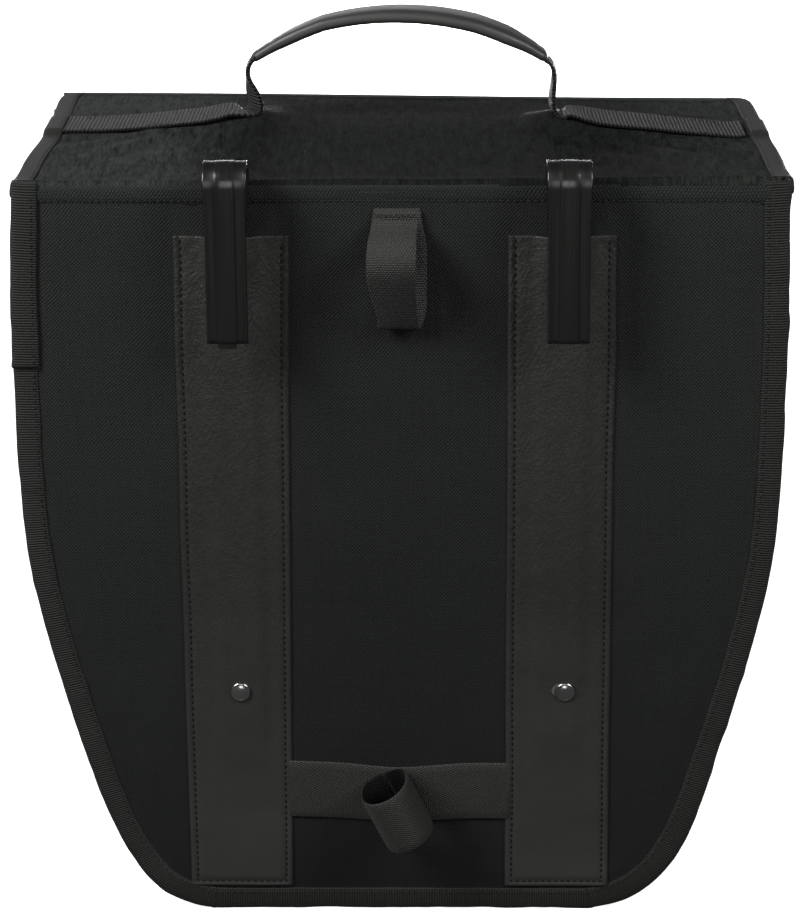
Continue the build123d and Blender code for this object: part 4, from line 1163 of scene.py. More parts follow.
def build_flap():
    vs, yz = flap_line()
    cols = np.linspace(-1, 1, 170)
    narrow = 4.9 * (1 - smooth01(vs / 8))
    hl_ = np.where(vs < 0, 175.5, flap_edge_hw(vs, -1) - 1.4 - narrow)
    hr_ = np.where(vs < 0, 175.5, flap_edge_hw(vs, 1) - 1.4 - narrow)
    x = np.where(cols[None, :] < 0, hl_[:, None], hr_[:, None]) * cols[None, :]
    v = np.broadcast_to(vs[:, None], x.shape)
    n = flap_rise(x, v) * smooth01((v + 1) / 8)
    tan = np.gradient(yz, axis=0)
    tan /= np.linalg.norm(tan, axis=1)[:, None]
    nrm = np.stack([-tan[:, 1], tan[:, 0]], 1)
    y = yz[:, 0][:, None] + nrm[:, 0][:, None] * n
    z = yz[:, 1][:, None] + nrm[:, 1][:, None] * n + fold_tilt(x, v)
    # the front edge rolls over towards the skirt
    roll_ = smooth01((v - (FLAP_END - 6)) / 6)
    z = z - 1.3 * roll_**2
    # the hem follows the cloth of the back panel
    hem = (v < -2.5)
    g = np.stack([x, y, z], -1)
    thick = np.where(v < 2, 0.8, 1.05) + 0.0 * x
    o = slab("flap_cloth", g, thick, uv=np.stack([x, v], -1), mat=M_FLAP, out=np.array([0, -0.3, 1.0]))
    # below the fold it is the same cloth as the panel, in the same light
    o.data.materials.append(M_PANEL)
    co = np.zeros(len(o.data.vertices) * 3)
    o.data.vertices.foreach_get("co", co)
    zc = co.reshape(-1, 3)[:, 2] * 1000
    for poly in o.data.polygons:
        if np.mean([zc[k] for k in poly.vertices]) < BAG_H + 0.9 and co[poly.vertices[0] * 3 + 1] * 1000 - SEAM_Y < BACK + 3.0:
            poly.material_index = 1
    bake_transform(o)
    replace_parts(o, "flap_top", "hinge_hem")
    s = stitches("flap_hem_thread", [(-168, BACK - 1.30, BAG_H - 6.3), (168, BACK - 1.30, BAG_H - 6.3)], (0, -1, 0), 2.2, 1.0, 0.24, M_THREAD)
    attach(s, "bag")


build_flap()


def build_flap_sides():
    """Tape on the flap's side edges, over the ends of the handle's webbing."""
    vs = np.concatenate([np.arange(0.2, 8, 0.8), np.arange(8.0, FLAP_END + 0.8, 1.6)])
    for side in (-1, 1):
        hw = flap_edge_hw(vs, side)
        dip = -3.0 * (1 - smooth01((vs + 0.5) / 6.0)) + 0.75 * fold_swell(vs) - 1.8 * smooth01((vs - (FLAP_END - 6)) / 7.0) ** 2 + droop(side * hw, vs) + fold_tilt(side * hw, vs)
        over = 1.9 * smooth01((14.8 - np.abs(vs - HV)) / 3.0)           # the hump where the webbing passes under
        wob = 0.25 * noise2(vs, vs * 0, 30, 71 + side)
        centre = on_flap(side * (hw + wob), vs, dip + 0.1)
        across = np.broadcast_to(np.array([-side * 1.0, 0, 0]), centre.shape)
        up = np.broadcast_to(np.array([0, -SN, CS]), centre.shape)
        n = len(vs)
        W = 9.4
        sec = np.zeros((n, 16, 2))
        for k in range(n):
            h = 1.15 + over[k]
            edge_h = 1.0 + over[k] * 0.85
            sec[k] = [(W, 0.2 + over[k] * 0.6), (W + 0.1, 0.75 + over[k] * 0.9), (W - 0.6, h + 0.05), (W * 0.6, h + 0.18), (W * 0.3, h + 0.1), (1.3, edge_h + 0.1), (0.4, edge_h - 0.4), (0.0, 0.0 + over[k] * 0.3),
                      (-0.05, -1.4), (0.1, -2.8), (0.8, -3.7), (2.0, -4.1), (W * 0.5, -4.2), (W - 0.6, -4.1), (W, -3.8), (W, -3.2)]
        o = sweep(f"flap_side_tape_{('left', 'right')[side > 0]}", centre, across, up, sec, mat=M_TAPE_SMOOTH, slot="binding_tape")
        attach(o, "flap")
        if side < 0:
            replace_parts(o, "flap_binding")
        line = on_flap(side * (hw + wob - (W - 1.5)), vs, 1.35 + over + dip)
        s = stitches(f"flap_side_thread_{('left', 'right')[side > 0]}", line, (0, -SN, CS), 2.2, 0.9, 0.25, M_THREAD)
        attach(s, "flap")


build_flap_sides()


def build_flap_under():
    """The lining under the flap, over its board."""
    vs = np.arange(6.0, FLAP_END - 1.0, 4.0)
    cols = np.linspace(-1, 1, 90)
    x = (flap_hw(vs) - 1.6)[:, None] * cols[None, :]
    v = np.broadcast_to(vs[:, None], x.shape)
    n = -3.5 - 0.5 * smooth01((flap_hw(v) - np.abs(x) - 8) / 12) + 0.25 * noise2(x, v, 40, 81) + droop(x, v)
    g = on_flap(x, v, n)
    o = slab("flap_lining_cloth", g[:, ::-1], 0.5, uv=np.stack([x, v], -1)[:, ::-1], mat=M_LINING, out=np.array([0, 0, -1.0]))
    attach(o, "flap")
    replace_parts(o, "flap_lining")
    vs = np.arange(10.0, 150.0, 4.0)
    x = (flap_hw(vs) - 14.0)[:, None] * np.linspace(-1, 1, 40)[None, :]
    v = np.broadcast_to(vs[:, None], x.shape)
    b = slab("flap_board_sheet", on_flap(x, v, -1.5 + droop(x, v)), 1.5, uv=np.stack([x, v], -1), mat=M_BOARD, out=np.array([0, 0, 1.0]))
    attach(b, "flap")
    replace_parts(b, "flap_board")


build_flap_under()


# ------------------------------------------------------------------ the carrying handle
def lie(x, v, up=0.0):
    """A point on the flap's cloth as it really lies, up millimetres above it."""
    x, v = np.asarray(x, float), np.asarray(v, float)
    return on_flap(x, v, flap_rise(x, v) + 0.35 + up)


# (x, height above the flap's fold) from the grip's end down to the flap, then on along the flap
RISER = {
    -1: [(-70.2, 41.2), (-72.0, 39.0), (-73.9, 35.5), (-74.3, 31.0), (-73.2, 26.0), (-71.9, 21.0), (-71.3, 16.6), (-72.4, 13.2), (-75.6, 11.4)],
    1: [(70.6, 38.8), (73.0, 37.2), (74.6, 33.0), (74.8, 28.0), (74.3, 22.0), (74.2, 16.5), (75.2, 12.9), (77.6, 10.6), (80.6, 9.7)],
}


def build_handle_side(side):
    end = "left" if side < 0 else "right"
    top = np.array([(x, HANDLE_Y, BAG_H + z) for x, z in RISER[side]])
    xs = np.arange(83.5, 173.0, 3.0)
    tail = lie(side * xs, np.full(len(xs), HV), 0.05)
    tail[:, 1] += 0.0
    pts = catmull(np.vstack([top, tail]), 1.1)
    s = arc_lengths(pts)
    n = len(pts)
    # the webbing's width: gathered where it stands up, flat and wide where it is sewn down
    foot = s[np.argmin(np.abs(np.abs(pts[:, 0]) - 84.0) + 1000 * (pts[:, 2] > BAG_H + 16))]
    rise = foot * 0.55
    width = 13.0 + 2.6 * smooth01((14.0 - s) / 12.0) + 4.0 * smooth01((s - rise) / (foot - rise)) + 8.0 * smooth01((s - foot + (13 if side < 0 else 6)) / 20.0)
    twist = math.radians(33.0 if side < 0 else 6.0) * smooth01((s - 7.0) / 16.0) * (1 - smooth01((s - foot + 12) / 13.0))
    across = np.stack([-np.sin(twist), np.cos(twist), np.sin(twist) * 0], 1)
    # on the flap it lies with the cloth, a little lower towards the camera side of the pucker
    flat = smooth01((s - foot + 4) / 10)
    across[:, 2] = flat * math.tan(SLOPE)
    t = np.gradient(pts, axis=0)
    t /= np.linalg.norm(t, axis=1)[:, None]
    up = np.cross(t, across) if side < 0 else np.cross(across, t)
    up /= np.linalg.norm(up, axis=1)[:, None]
    if up[-1][2] < 0:
        up = -up
    # gathered webbing is thicker and rounder
    sec = np.zeros((n, 19, 2))
    base = None
    for k in range(n):
        gather = 1 - smooth01((width[k] - 13.5) / 8.0)
        q = ribbon_section(width[k], 1.6 + 0.9 * gather, crown=0.15 + 0.7 * gather, n=9)
        curl = 0.35 * (1 - gather) * (np.abs(q[:, 0]) / (width[k] / 2)) ** 4
        q[:, 1] += curl
        sec[k, : len(q)] = q
        base = len(q)
    sec = sec[:, :base]
    v = ribbon_v(24.0)
    o = sweep(f"handle_webbing_{end}", pts, across / np.linalg.norm(across, axis=1)[:, None], up, sec, uv_v=v, mat=M_HANDLE_WEB, slot="handle_web")
    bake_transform(o)
    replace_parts(o, "handle_tails") if side < 0 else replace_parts(o, "handle_webbing")
    # thread along the webbing's two long edges
    for off in (-10.4, 10.4):
        xx = np.linspace(104 if abs(off) > 5 else 96, 160, 60)
        line = lie(side * xx, HV + off + 0 * xx, 1.75)
        st_ = stitches(f"handle_thread_{end}_{('near', 'far')[off > 0]}", line, (0, -SN, CS), 2.2, 1.0, 0.28, M_THREAD)
        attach(st_, "flap")
    return o


hl = build_handle_side(-1)
hr = build_handle_side(1)


def build_grip():
    gr = 153.6
    az = BAG_H + 60.0 - gr
    n = 130
    ang = np.linspace(-math.radians(28.2), math.radians(27.9), n)
    t = (ang - ang[0]) / (ang[-1] - ang[0])
    # the arch leans a little: higher at its left end than at its right
    c = np.stack([gr * np.sin(ang), np.full(n, HANDLE_Y), az + gr * np.cos(ang)], 1)
    c[:, 2] += np.interp(t, [0, 0.08, 0.25, 0.5, 0.75, 0.92, 1], [-2.6, -1.2, 1.4, 1.2, 0.9, -1.0, -2.6])
    tan = np.gradient(c, axis=0)
    tan /= np.linalg.norm(tan, axis=1)[:, None]
    y = np.broadcast_to(np.array([0, 1.0, 0]), c.shape)
    up0 = np.cross(tan, y)
    up0 *= np.sign(up0[n // 2][2])
    rollv = np.radians(np.interp(t, [0, 0.15, 0.35, 0.5, 0.7, 0.85, 1], [7.0, 4.5, 1.5, -1.0, -3.0, -3.0, 0.0]))
    across = y * np.cos(rollv)[:, None] - up0 * np.sin(rollv)[:, None]
    up = up0 * np.cos(rollv)[:, None] + y * np.sin(rollv)[:, None]
    ends = smooth01(np.minimum(t, 1 - t) / 0.16)
    tip = smooth01(np.minimum(t, 1 - t) / 0.012)
    w = (7.8 + 2.9 * ends) * (0.72 + 0.28 * tip)
    h = (2.9 + 1.3 * ends) * (0.6 + 0.4 * tip)
    k = 40
    a = np.linspace(0, 2 * math.pi, k, endpoint=False)
    # flat underneath, gently crowned on top, with round edges
    ex = np.sign(np.cos(a)) * np.abs(np.cos(a)) ** 0.55
    ey = np.sign(np.sin(a)) * np.abs(np.sin(a)) ** 0.75
    sec = np.zeros((n, k, 2))
    for i in range(n):
        top = ey > 0
        sec[i, :, 0] = ex * w[i]
        sec[i, :, 1] = np.where(top, ey * h[i] * 1.0, ey * h[i] * 0.72)
        # a shallow panel is sunk in the top face, with a raised border
        inside = smooth01((w[i] - 1.9 - np.abs(sec[i, :, 0])) / 0.7) * top * smooth01((min(t[i], 1 - t[i]) - 0.06) / 0.02)
        sec[i, :, 1] -= 0.30 * inside
    o = sweep("grip_moulding", c, across, up, sec, mat=M_GRIP, slot="grip_rubber")
    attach(o, "handle")
    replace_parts(o, "grip")
    return o


build_grip()


# ------------------------------------------------------------------ cloth simulation
def settle(name, grid, pin, pressure, shrink, frames, tension=25.0, bend=0.6, gravity=0.5, mass=0.25, seed=0, quality=6):
    """Lets a grid of cloth settle with its pinned points held; returns its points in millimetres."""
    n, m_, _ = grid.shape
    o = new_mesh(name + "_sim", grid.reshape(-1, 3), grid_faces(n, m_))
    vg = o.vertex_groups.new(name="pin")
    w = pin.reshape(-1)
    for i in np.nonzero(w > 0)[0]:
        vg.add([int(i)], float(w[i]), "REPLACE")
    md = o.modifiers.new("cloth", "CLOTH")
    s = md.settings
    s.quality = quality
    s.mass = mass
    s.tension_stiffness = s.compression_stiffness = tension
    s.shear_stiffness = tension * 0.5
    s.bending_stiffness = bend
    s.tension_damping = s.compression_damping = s.shear_damping = 20
    s.bending_damping = 0.8
    s.air_damping = 4.0
    s.vertex_group_mass = "pin"
    s.shrink_min = shrink
    s.use_pressure = True
    s.uniform_pressure_force = pressure
    s.effector_weights.gravity = gravity
    md.collision_settings.use_collision = False
    md.point_cache.frame_start = 1
    md.point_cache.frame_end = frames
    for f in range(1, frames + 1):
        scene.frame_set(f)
    dg = bpy.context.evaluated_depsgraph_get()
    ev = o.evaluated_get(dg)
    me_ = ev.to_mesh()
    out = np.zeros(len(me_.vertices) * 3)
    me_.vertices.foreach_get("co", out)
    ev.to_mesh_clear()
    out = out.reshape(-1, 3) * 1000
    out[:, 1] -= SEAM_Y
    data = o.data
    bpy.data.objects.remove(o, do_unlink=True)
    bpy.data.meshes.remove(data)
    scene.frame_set(1)
    return out.reshape(n, m_, 3)


def mouth_z(y):
    return BAG_H + (np.asarray(y, float) - BACK) * math.tan(SLOPE) - 6.2


def build_front_panel():
    zs = np.concatenate([np.linspace(1.6, 14, 6), np.linspace(17, 386.5, 108)])
    cols = np.linspace(-1, 1, 108)
    hw = half_width(np.minimum(zs, 385.9), 1.6)
    x = hw[:, None] * cols[None, :]
    z = np.broadcast_to(zs[:, None], x.shape).copy()
    inset = np.minimum(half_width(np.minimum(z, 385.9), 0) - np.abs(x), z)
    y = np.full(x.shape, HALF - 0.1)
    # slack in the cloth: more than its frame, so that it settles in soft folds
    slack = 1.2 * noise2(x, z, 60, 91) + 0.7 * noise2(x, z, 28, 92)
    y = y + slack * smooth01((inset - 10) / 20) * smooth01((387 - z) / 25)
    g = np.stack([x, y, z], -1)
    pin = np.where(inset < 11.2, 1.0, 0.0)
    pin[-2:, :] = 1.0
    out = settle("front_panel", g, pin, 0.6, -0.006, 36, tension=20, bend=0.8)
    # under the skirt it is held flat; the pocket of the lower half stands out softly
    d = out[..., 1] - (HALF - 0.1)
    low = 1 - smooth01((out[..., 2] - 235) / 60)
    room = 1.1 + 5.6 * low
    d = np.where(d > 0, room * np.tanh(d / (room * 1.25)), np.maximum(d * 0.6, -1.2))
    out[..., 1] = HALF - 0.1 + d
    o = slab("front_panel_cloth", out, 1.0, uv=np.stack([x, z], -1), mat=M_PANEL, normal=np.broadcast_to(np.array([0, 1.0, 0]), out.shape))
    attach(o, "bag")
    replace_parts(o, "front_panel")
    return o, out


front_cloth, FRONT = build_front_panel()


def front_y(x, z):
    """The front panel's face at x, z, by looking it up on its grid."""
    zs = FRONT[:, FRONT.shape[1] // 2, 2]
    k = np.clip(np.searchsorted(zs, z), 1, len(zs) - 1)
    r0, r1 = FRONT[k - 1], FRONT[k]
    a = np.interp(x, r0[:, 0], r0[:, 1])
    b = np.interp(x, r1[:, 0], r1[:, 1])
    f = (z - zs[k - 1]) / max(zs[k] - zs[k - 1], 1e-6)
    return a + (b - a) * min(max(f, 0), 1)


def build_gusset():
    cut = EDGE_N * 11.0
    path = EDGE + cut
    keep = EDGE[:, 1] <= 386.5
    path, s = path[keep], EDGE_S[keep]
    path = resample(path, 3.6)
    s = arc_lengths(path)
    tan = np.gradient(path, axis=0)
    tan /= np.linalg.norm(tan, axis=1)[:, None]
    nrm = np.stack([-tan[:, 1], tan[:, 0]], 1)
    if np.dot(nrm[3], [1, 0]) < 0:
        nrm = -nrm                                   # outwards
    ys = np.concatenate([[-75.55, -75.5, -75.3, -74.4], np.linspace(-71.0, 71.0, 41), [74.4, 75.3, 75.5, 75.55]])
    out_by = np.concatenate([[9.4, 5.0, 1.6, 0.3], np.zeros(41), [0.3, 1.6, 5.0, 9.4]])
    n, m_ = len(path), len(ys)
    x = path[:, 0][:, None] + nrm[:, 0][:, None] * out_by[None, :]
    z = path[:, 1][:, None] + nrm[:, 1][:, None] * out_by[None, :]
    y = np.broadcast_to(ys[None, :], x.shape).copy()
    top = mouth_z(y)
    z = z + (top - 385.5) * smooth01((z - 190) / 190)
    mid = smooth01((73 - np.abs(y)) / 20)
    start = (1.0 * noise2(s[:, None] + 0 * y, y, 42, 95) + 0.7 * noise2(s[:, None] + 0 * y, y, 17, 96)) * mid
    lift = np.ones(n)
    lift *= smooth01(np.minimum(np.arange(n), n - 1 - np.arange(n)) / 8.0)
    start = start * lift[:, None]
    x = x + nrm[:, 0][:, None] * start
    z = z + nrm[:, 1][:, None] * start
    g = np.stack([x, y, z], -1)
    pin = np.zeros((n, m_))
    pin[:, :4] = 1.0
    pin[:, -4:] = 1.0
    pin[:2, :] = 1.0
    pin[-2:, :] = 1.0
    res = settle("gusset", g, pin, 0.55, -0.012, 36, tension=22, bend=0.5)
    # keep the swell inside the seams' flanges
    base = np.stack([path[:, 0][:, None] + 0 * y, y, path[:, 1][:, None] + (top - 385.5) * smooth01((path[:, 1][:, None] - 190) / 190)], -1)
    n3 = np.stack([nrm[:, 0], np.zeros(n), nrm[:, 1]], 1)[:, None, :]
    d = ((res - base) * n3).sum(-1)
    want = np.where(np.abs(y) < 72, np.where(d > 0, 9.0 * np.tanh(d / 11.0), np.maximum(d * 0.8, -3.0)), d)
    res = res + n3 * (want - d)[..., None]
    uv = np.stack([y + 0 * x, s[:, None] + 0 * y], -1)
    o = slab("gusset_cloth", res, 0.9, uv=uv, mat=M_GUSSET, out=n3)
    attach(o, "bag")
    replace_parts(o, "gusset")
    return o, res


gusset_cloth, GUSSET = build_gusset()


# ------------------------------------------------------------------ tape round the mouth, and the lining
def build_mouth():
    mx = 181.6 - 12.0
    r = 6.0
    y1 = HALF - 1.2
    side_l = [(-mx, y) for y in np.linspace(BACK + 4.0, y1 - r, 40)]
    corner_l = [(-mx + r - r * math.cos(t), y1 - r + r * math.sin(t)) for t in np.linspace(0.1, math.pi / 2, 7)]
    front = [(x, y1) for x in np.linspace(-mx + r + 4, mx - r - 4, 80)]
    corner_r = [(-x, y) for x, y in reversed(corner_l)]
    side_r = [(-x, y) for x, y in reversed(side_l)]
    p = np.array(side_l + corner_l + front + corner_r + side_r)
    p = resample(p, 3.0)
    s = arc_lengths(p)
    tan = np.gradient(p, axis=0)
    tan /= np.linalg.norm(tan, axis=1)[:, None]
    inward = np.stack([tan[:, 1], -tan[:, 0]], 1)
    if np.dot(inward[3], [1, 0]) < 0:
        inward = -inward
    wob = 0.35 * noise2(s, 0 * s, 20, 101)
    centre = np.stack([p[:, 0] + inward[:, 0] * wob, p[:, 1] + inward[:, 1] * wob, mouth_z(p[:, 1]) + 0.25 * noise2(s, 0 * s, 26, 102)], 1)
    across = np.stack([inward[:, 0], inward[:, 1], np.zeros(len(p))], 1)
    up = np.broadcast_to(np.array([0, 0, 1.0]), centre.shape)
    sec = np.array([
        (-0.9, -9.0), (-1.05, -5.0), (-0.95, -1.2), (-0.6, -0.1), (0.0, 0.45), (0.9, 0.6), (1.7, 0.3), (2.2, -0.5),
        (2.35, -5.0), (2.3, -11.0), (2.1, -11.6), (1.5, -11.5), (1.45, -5.0), (0.0, -4.0), (-0.2, -9.2),
    ])
    o = sweep("mouth_tape", centre, across, up, sec, mat=M_TAPE, slot="binding_tape")
    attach(o, "bag")
    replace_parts(o, "mouth_binding")
    line = centre + across * 2.4 + up * (-9.2)
    st_ = stitches("mouth_thread", line, across, 2.3, 1.0, 0.26, M_THREAD)
    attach(st_, "bag")


build_mouth()


def build_linings():
    lo_z, hi_z = 13.5, 379.0
    zs = np.linspace(lo_z, hi_z, 90)
    cols = np.linspace(-1, 1, 80)
    x = (half_width(zs, 13.2))[:, None] * cols[None, :]
    z = np.broadcast_to(zs[:, None], x.shape)
    y = BACK + 1.2 + 2.0 + 1.1 + 0.35 * noise2(x, z, 50, 111) + 0.2 * noise2(x, z, 18, 112)
    g = np.stack([x, y, z], -1)
    o = slab("back_lining_cloth", g, 0.5, uv=np.stack([x, z], -1), mat=M_LINING, normal=np.broadcast_to(np.array([0, 1.0, 0]), g.shape))
    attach(o, "bag")
    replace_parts(o, "back_lining")


build_linings()


# ------------------------------------------------------------------ the flap's front skirt
def skirt_hw(z):
    z = np.asarray(z, float)
    w = 173.5 + (FLAP_HW1 - 173.5) * (z - SKIRT_BOTTOM) / (SKIRT_TOP - SKIRT_BOTTOM)
    cz = SKIRT_BOTTOM + SKIRT_R
    cx = 173.5 + (FLAP_HW1 - 173.5) * SKIRT_R / (SKIRT_TOP - SKIRT_BOTTOM) - SKIRT_R
    low = np.clip(cz - z, 0, SKIRT_R)
    return np.where(z < cz, cx + np.sqrt(np.maximum(SKIRT_R**2 - low**2, 0)), w)


BUCKLE_X = 95.0


def skirt_out(x, z):
    """How far the skirt stands off its plane."""
    d = 0.9 * noise2(x, z, 70, 121) + 0.45 * noise2(x, z, 26, 122)
    top = smooth01((SKIRT_TOP - z) / 40)
    strap = np.exp(-(((np.abs(x) - BUCKLE_X) / 18.0) ** 2))
    low = smooth01((330 - z) / 70)
    centre = np.exp(-((x / 60.0) ** 2))
    outer = smooth01((np.abs(x) - 125) / 40)
    return d * top + low * (1.9 * centre + 1.6 * outer) * (1 - strap) + fold(np.abs(x), z, (97, 262), (130, 345), 9.0, 0.9, 0.4) + fold(np.abs(x), z, (92, 262), (50, 340), 10.0, 0.8, 0.4)


def build_skirt():
    # from its overlap on the flap, over the edge, down to its lower hem
    over = [on_flap(0.0, v, 0.75)[1:] for v in np.linspace(FLAP_END - 5.5, FLAP_END - 2.5, 7)]
    r = 4.2
    bend = []
    y_end, z_end = SKIRT_Y + 0.1, SKIRT_TOP - 4.6
    a0 = np.array(over[-1])
    corner = np.array([y_end, a0[1] + 0.15])
    for t in np.linspace(0.12, 1, 9):
        q = (1 - t) ** 2 * a0 + 2 * t * (1 - t) * corner + t**2 * np.array([y_end, z_end])
        bend.append(tuple(q))
    zs = np.concatenate([np.linspace(z_end - 2.5, SKIRT_BOTTOM + SKIRT_R, 36), SKIRT_BOTTOM + SKIRT_R - SKIRT_R * np.sin(np.linspace(0.06, math.pi / 2 - 0.03, 22))])
    face = [(SKIRT_Y + 0.1, z) for z in zs]
    yz = np.array([tuple(p_) for p_ in over] + bend + face)
    n_top = len(over) + len(bend)
    cols = np.linspace(-1, 1, 130)
    z_row = yz[:, 1]
    hw = np.where(np.arange(len(yz)) < n_top, FLAP_HW1 - 1.0 - 7.5 * (1 - smooth01(np.arange(len(yz)) / 6.0)) * (np.arange(len(yz)) < 7), skirt_hw(np.clip(z_row, SKIRT_BOTTOM, SKIRT_TOP)) - 1.1)
    x = hw[:, None] * cols[None, :]
    z = np.broadcast_to(z_row[:, None], x.shape).copy()
    y = np.broadcast_to(yz[:, 0][:, None], x.shape).copy()
    d = skirt_out(x, z)
    tan = np.gradient(yz, axis=0)
    tan /= np.linalg.norm(tan, axis=1)[:, None]
    nrm = np.stack([-tan[:, 1], tan[:, 0]], 1)
    y = y + nrm[:, 0][:, None] * d
    z = z + nrm[:, 1][:, None] * d * 1.0
    z = z + droop(x, FLAP_END) * smooth01((z - (SKIRT_TOP - 60)) / 55) * (np.arange(len(yz))[:, None] >= len(over))
    # on the flap it follows the flap's cloth
    on = np.arange(len(yz))[:, None] < len(over)
    rise = flap_rise(x, np.clip(FLAP_END - 5.5 + np.arange(len(yz))[:, None] * 0.5, 0, FLAP_END) + 0 * x)
    z = z + np.where(on, rise, 0)
    g = np.stack([x, y, z], -1)
    s = arc_lengths(yz)
    thick = np.full(x.shape, 1.1)
    o = slab("skirt_cloth", g, thick, uv=np.stack([x, -s[:, None] + 0 * x], -1), mat=M_PANEL, out=np.array([0, 1.0, 0.5]))
    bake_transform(o)
    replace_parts(o, "flap_front")
    # its lining, inside
    rows_in = [i for i in range(len(yz)) if i >= n_top + 1]
    gi = g[rows_in].copy()
    gi[..., 1] -= 1.15
    gi[..., 0] *= 0.998
    li = slab("skirt_lining_cloth", gi[::-1], 0.45, uv=np.stack([x, z], -1)[rows_in][::-1], mat=M_LINING, normal=np.broadcast_to(np.array([0, -1.0, 0]), gi.shape))
    # moved so that its outer face is the one towards the bag
    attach(li, "flap_skirt")
    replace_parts(li, "flap_front_lining")
    return g


SKIRT = build_skirt()


def skirt_edge(inset):
    cz = SKIRT_BOTTOM + SKIRT_R
    r = SKIRT_R - inset
    wc = float(skirt_hw(cz)) - SKIRT_R
    pts = [(float(skirt_hw(z)) - inset, z) for z in np.arange(SKIRT_TOP - 7.0, cz, -4.0)]
    pts += [(wc + r * math.cos(t), cz - r * math.sin(t)) for t in np.linspace(0, math.pi / 2, 24)]
    pts += [(x, SKIRT_BOTTOM + inset) for x in np.arange(wc - 4, -wc + 3, -5.0)]
    pts += [(-wc + r * math.cos(t), cz - r * math.sin(t)) for t in np.linspace(math.pi / 2, math.pi, 24)]
    pts += [(-(float(skirt_hw(z)) - inset), z) for z in np.arange(cz + 4, SKIRT_TOP - 7.0, 4.0)]
    return np.array(pts)


def build_skirt_tape():
    e = resample(skirt_edge(0.0), 2.5)
    s = arc_lengths(e)
    tan = np.gradient(e, axis=0)
    tan /= np.linalg.norm(tan, axis=1)[:, None]
    nrm = np.stack([tan[:, 1], -tan[:, 0]], 1)
    if np.dot(nrm[3], [-1, 0]) < 0:
        nrm = -nrm
    n = len(e)
    W = 9.8
    sec = np.zeros((n, 16, 2))
    w = 0.3 * noise2(s, 0 * s, 15, 131)
    for k in range(n):
        sec[k] = [(W, 0.15), (W + 0.1, 0.6), (W - 0.6, 0.95), (W * 0.6, 1.1), (W * 0.3, 1.05), (1.3, 0.85), (0.4, 0.2), (0.0, -0.6), (0.0, -1.4), (0.4, -2.1), (1.3, -2.6), (W * 0.5, -2.75), (W - 0.6, -2.6), (W, -2.3), (W - 0.2, -1.9), (1.2, -1.7)]
        sec[k, :, 0] += w[k]
    yy = SKIRT_Y + 0.1 + skirt_out(e[:, 0], e[:, 1]) 
    centre = np.stack([e[:, 0], yy, e[:, 1]], 1)
    across = np.stack([nrm[:, 0], np.zeros(n), nrm[:, 1]], 1)
    up = np.broadcast_to(np.array([0, 1.0, 0]), centre.shape)
    o = sweep("skirt_edge_tape", centre, across, up, sec, mat=M_TAPE, slot="binding_tape")
    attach(o, "flap_skirt")
    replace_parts(o, "flap_front_binding")
    line = centre + across * (W - 1.4) + up * 1.0
    st_ = stitches("skirt_edge_thread", line, (0, 1, 0), 2.3, 1.0, 0.27, M_THREAD)
    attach(st_, "flap_skirt")


build_skirt_tape()


# ------------------------------------------------------------------ buckles and their webbing
def rounded_box(name, lo, hi, radius, mat, seg=3, holes=(), body=None):
    me_ = bpy.data.meshes.new(name)
    bm = bmesh.new()
    bmesh.ops.create_cube(bm, size=1.0)
    lo, hi = np.array(lo, float), np.array(hi, float)
    for v in bm.verts:
        q = lo + (np.array(v.co[:]) + 0.5) * (hi - lo)
        v.co = row(q)
    bmesh.ops.bevel(bm, geom=list(bm.edges) + list(bm.verts), offset=radius / 1000, segments=seg, profile=0.6, affect="EDGES")
    bmesh.ops.recalc_face_normals(bm, faces=bm.faces)
    bm.to_mesh(me_)
    bm.free()
    me_.uv_layers.new(name="cloth")
    me_.materials.append(mat)
    me_.polygons.foreach_set("use_smooth", np.ones(len(me_.polygons), bool))
    o = bpy.data.objects.new(name, me_)
    scene.collection.objects.link(o)
    if body:
        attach(o, body)
    return o


def outline_plate(name, outer, y0, y1, mat, holes=(), bevel=0.7, body=None, crown=0.0):
    """A plate in the x-z plane with holes, from y0 to y1, its edges rounded."""
    import mathutils
    bm = bmesh.new()
    loops = [outer] + list(holes)
    edges = []
    for lp in loops:
        vs_ = [bm.verts.new(row((x, y0, z))) for x, z in lp]
        for i in range(len(vs_)):
            edges.append(bm.edges.new((vs_[i], vs_[(i + 1) % len(vs_)])))
    bmesh.ops.triangle_fill(bm, use_beauty=True, use_dissolve=False, edges=edges)
    faces = list(bm.faces)
    ext = bmesh.ops.extrude_face_region(bm, geom=faces)
    vs_ = [v for v in ext["geom"] if isinstance(v, bmesh.types.BMVert)]
    bmesh.ops.translate(bm, verts=vs_, vec=(0, (y1 - y0) / 1000, 0))
    bmesh.ops.recalc_face_normals(bm, faces=bm.faces)
    sharp = [e for e in bm.edges if len(e.link_faces) == 2 and e.calc_face_angle(0) > math.radians(60)]
    if bevel:
        bmesh.ops.bevel(bm, geom=sharp, offset=bevel / 1000, segments=3, profile=0.6, affect="EDGES", clamp_overlap=True)
    me_ = bpy.data.meshes.new(name)
    bm.to_mesh(me_)
    bm.free()
    me_.uv_layers.new(name="cloth")
    me_.materials.append(mat)
    me_.polygons.foreach_set("use_smooth", np.ones(len(me_.polygons), bool))
    o = bpy.data.objects.new(name, me_)
    scene.collection.objects.link(o)
    md = o.modifiers.new("normals", "WEIGHTED_NORMAL")
    if body:
        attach(o, body)
    return o


def arc_pts(cx, cz, r, a0, a1, n=8):
    return [(cx + r * math.cos(math.radians(a0 + (a1 - a0) * k / n)), cz + r * math.sin(math.radians(a0 + (a1 - a0) * k / n))) for k in range(n + 1)]


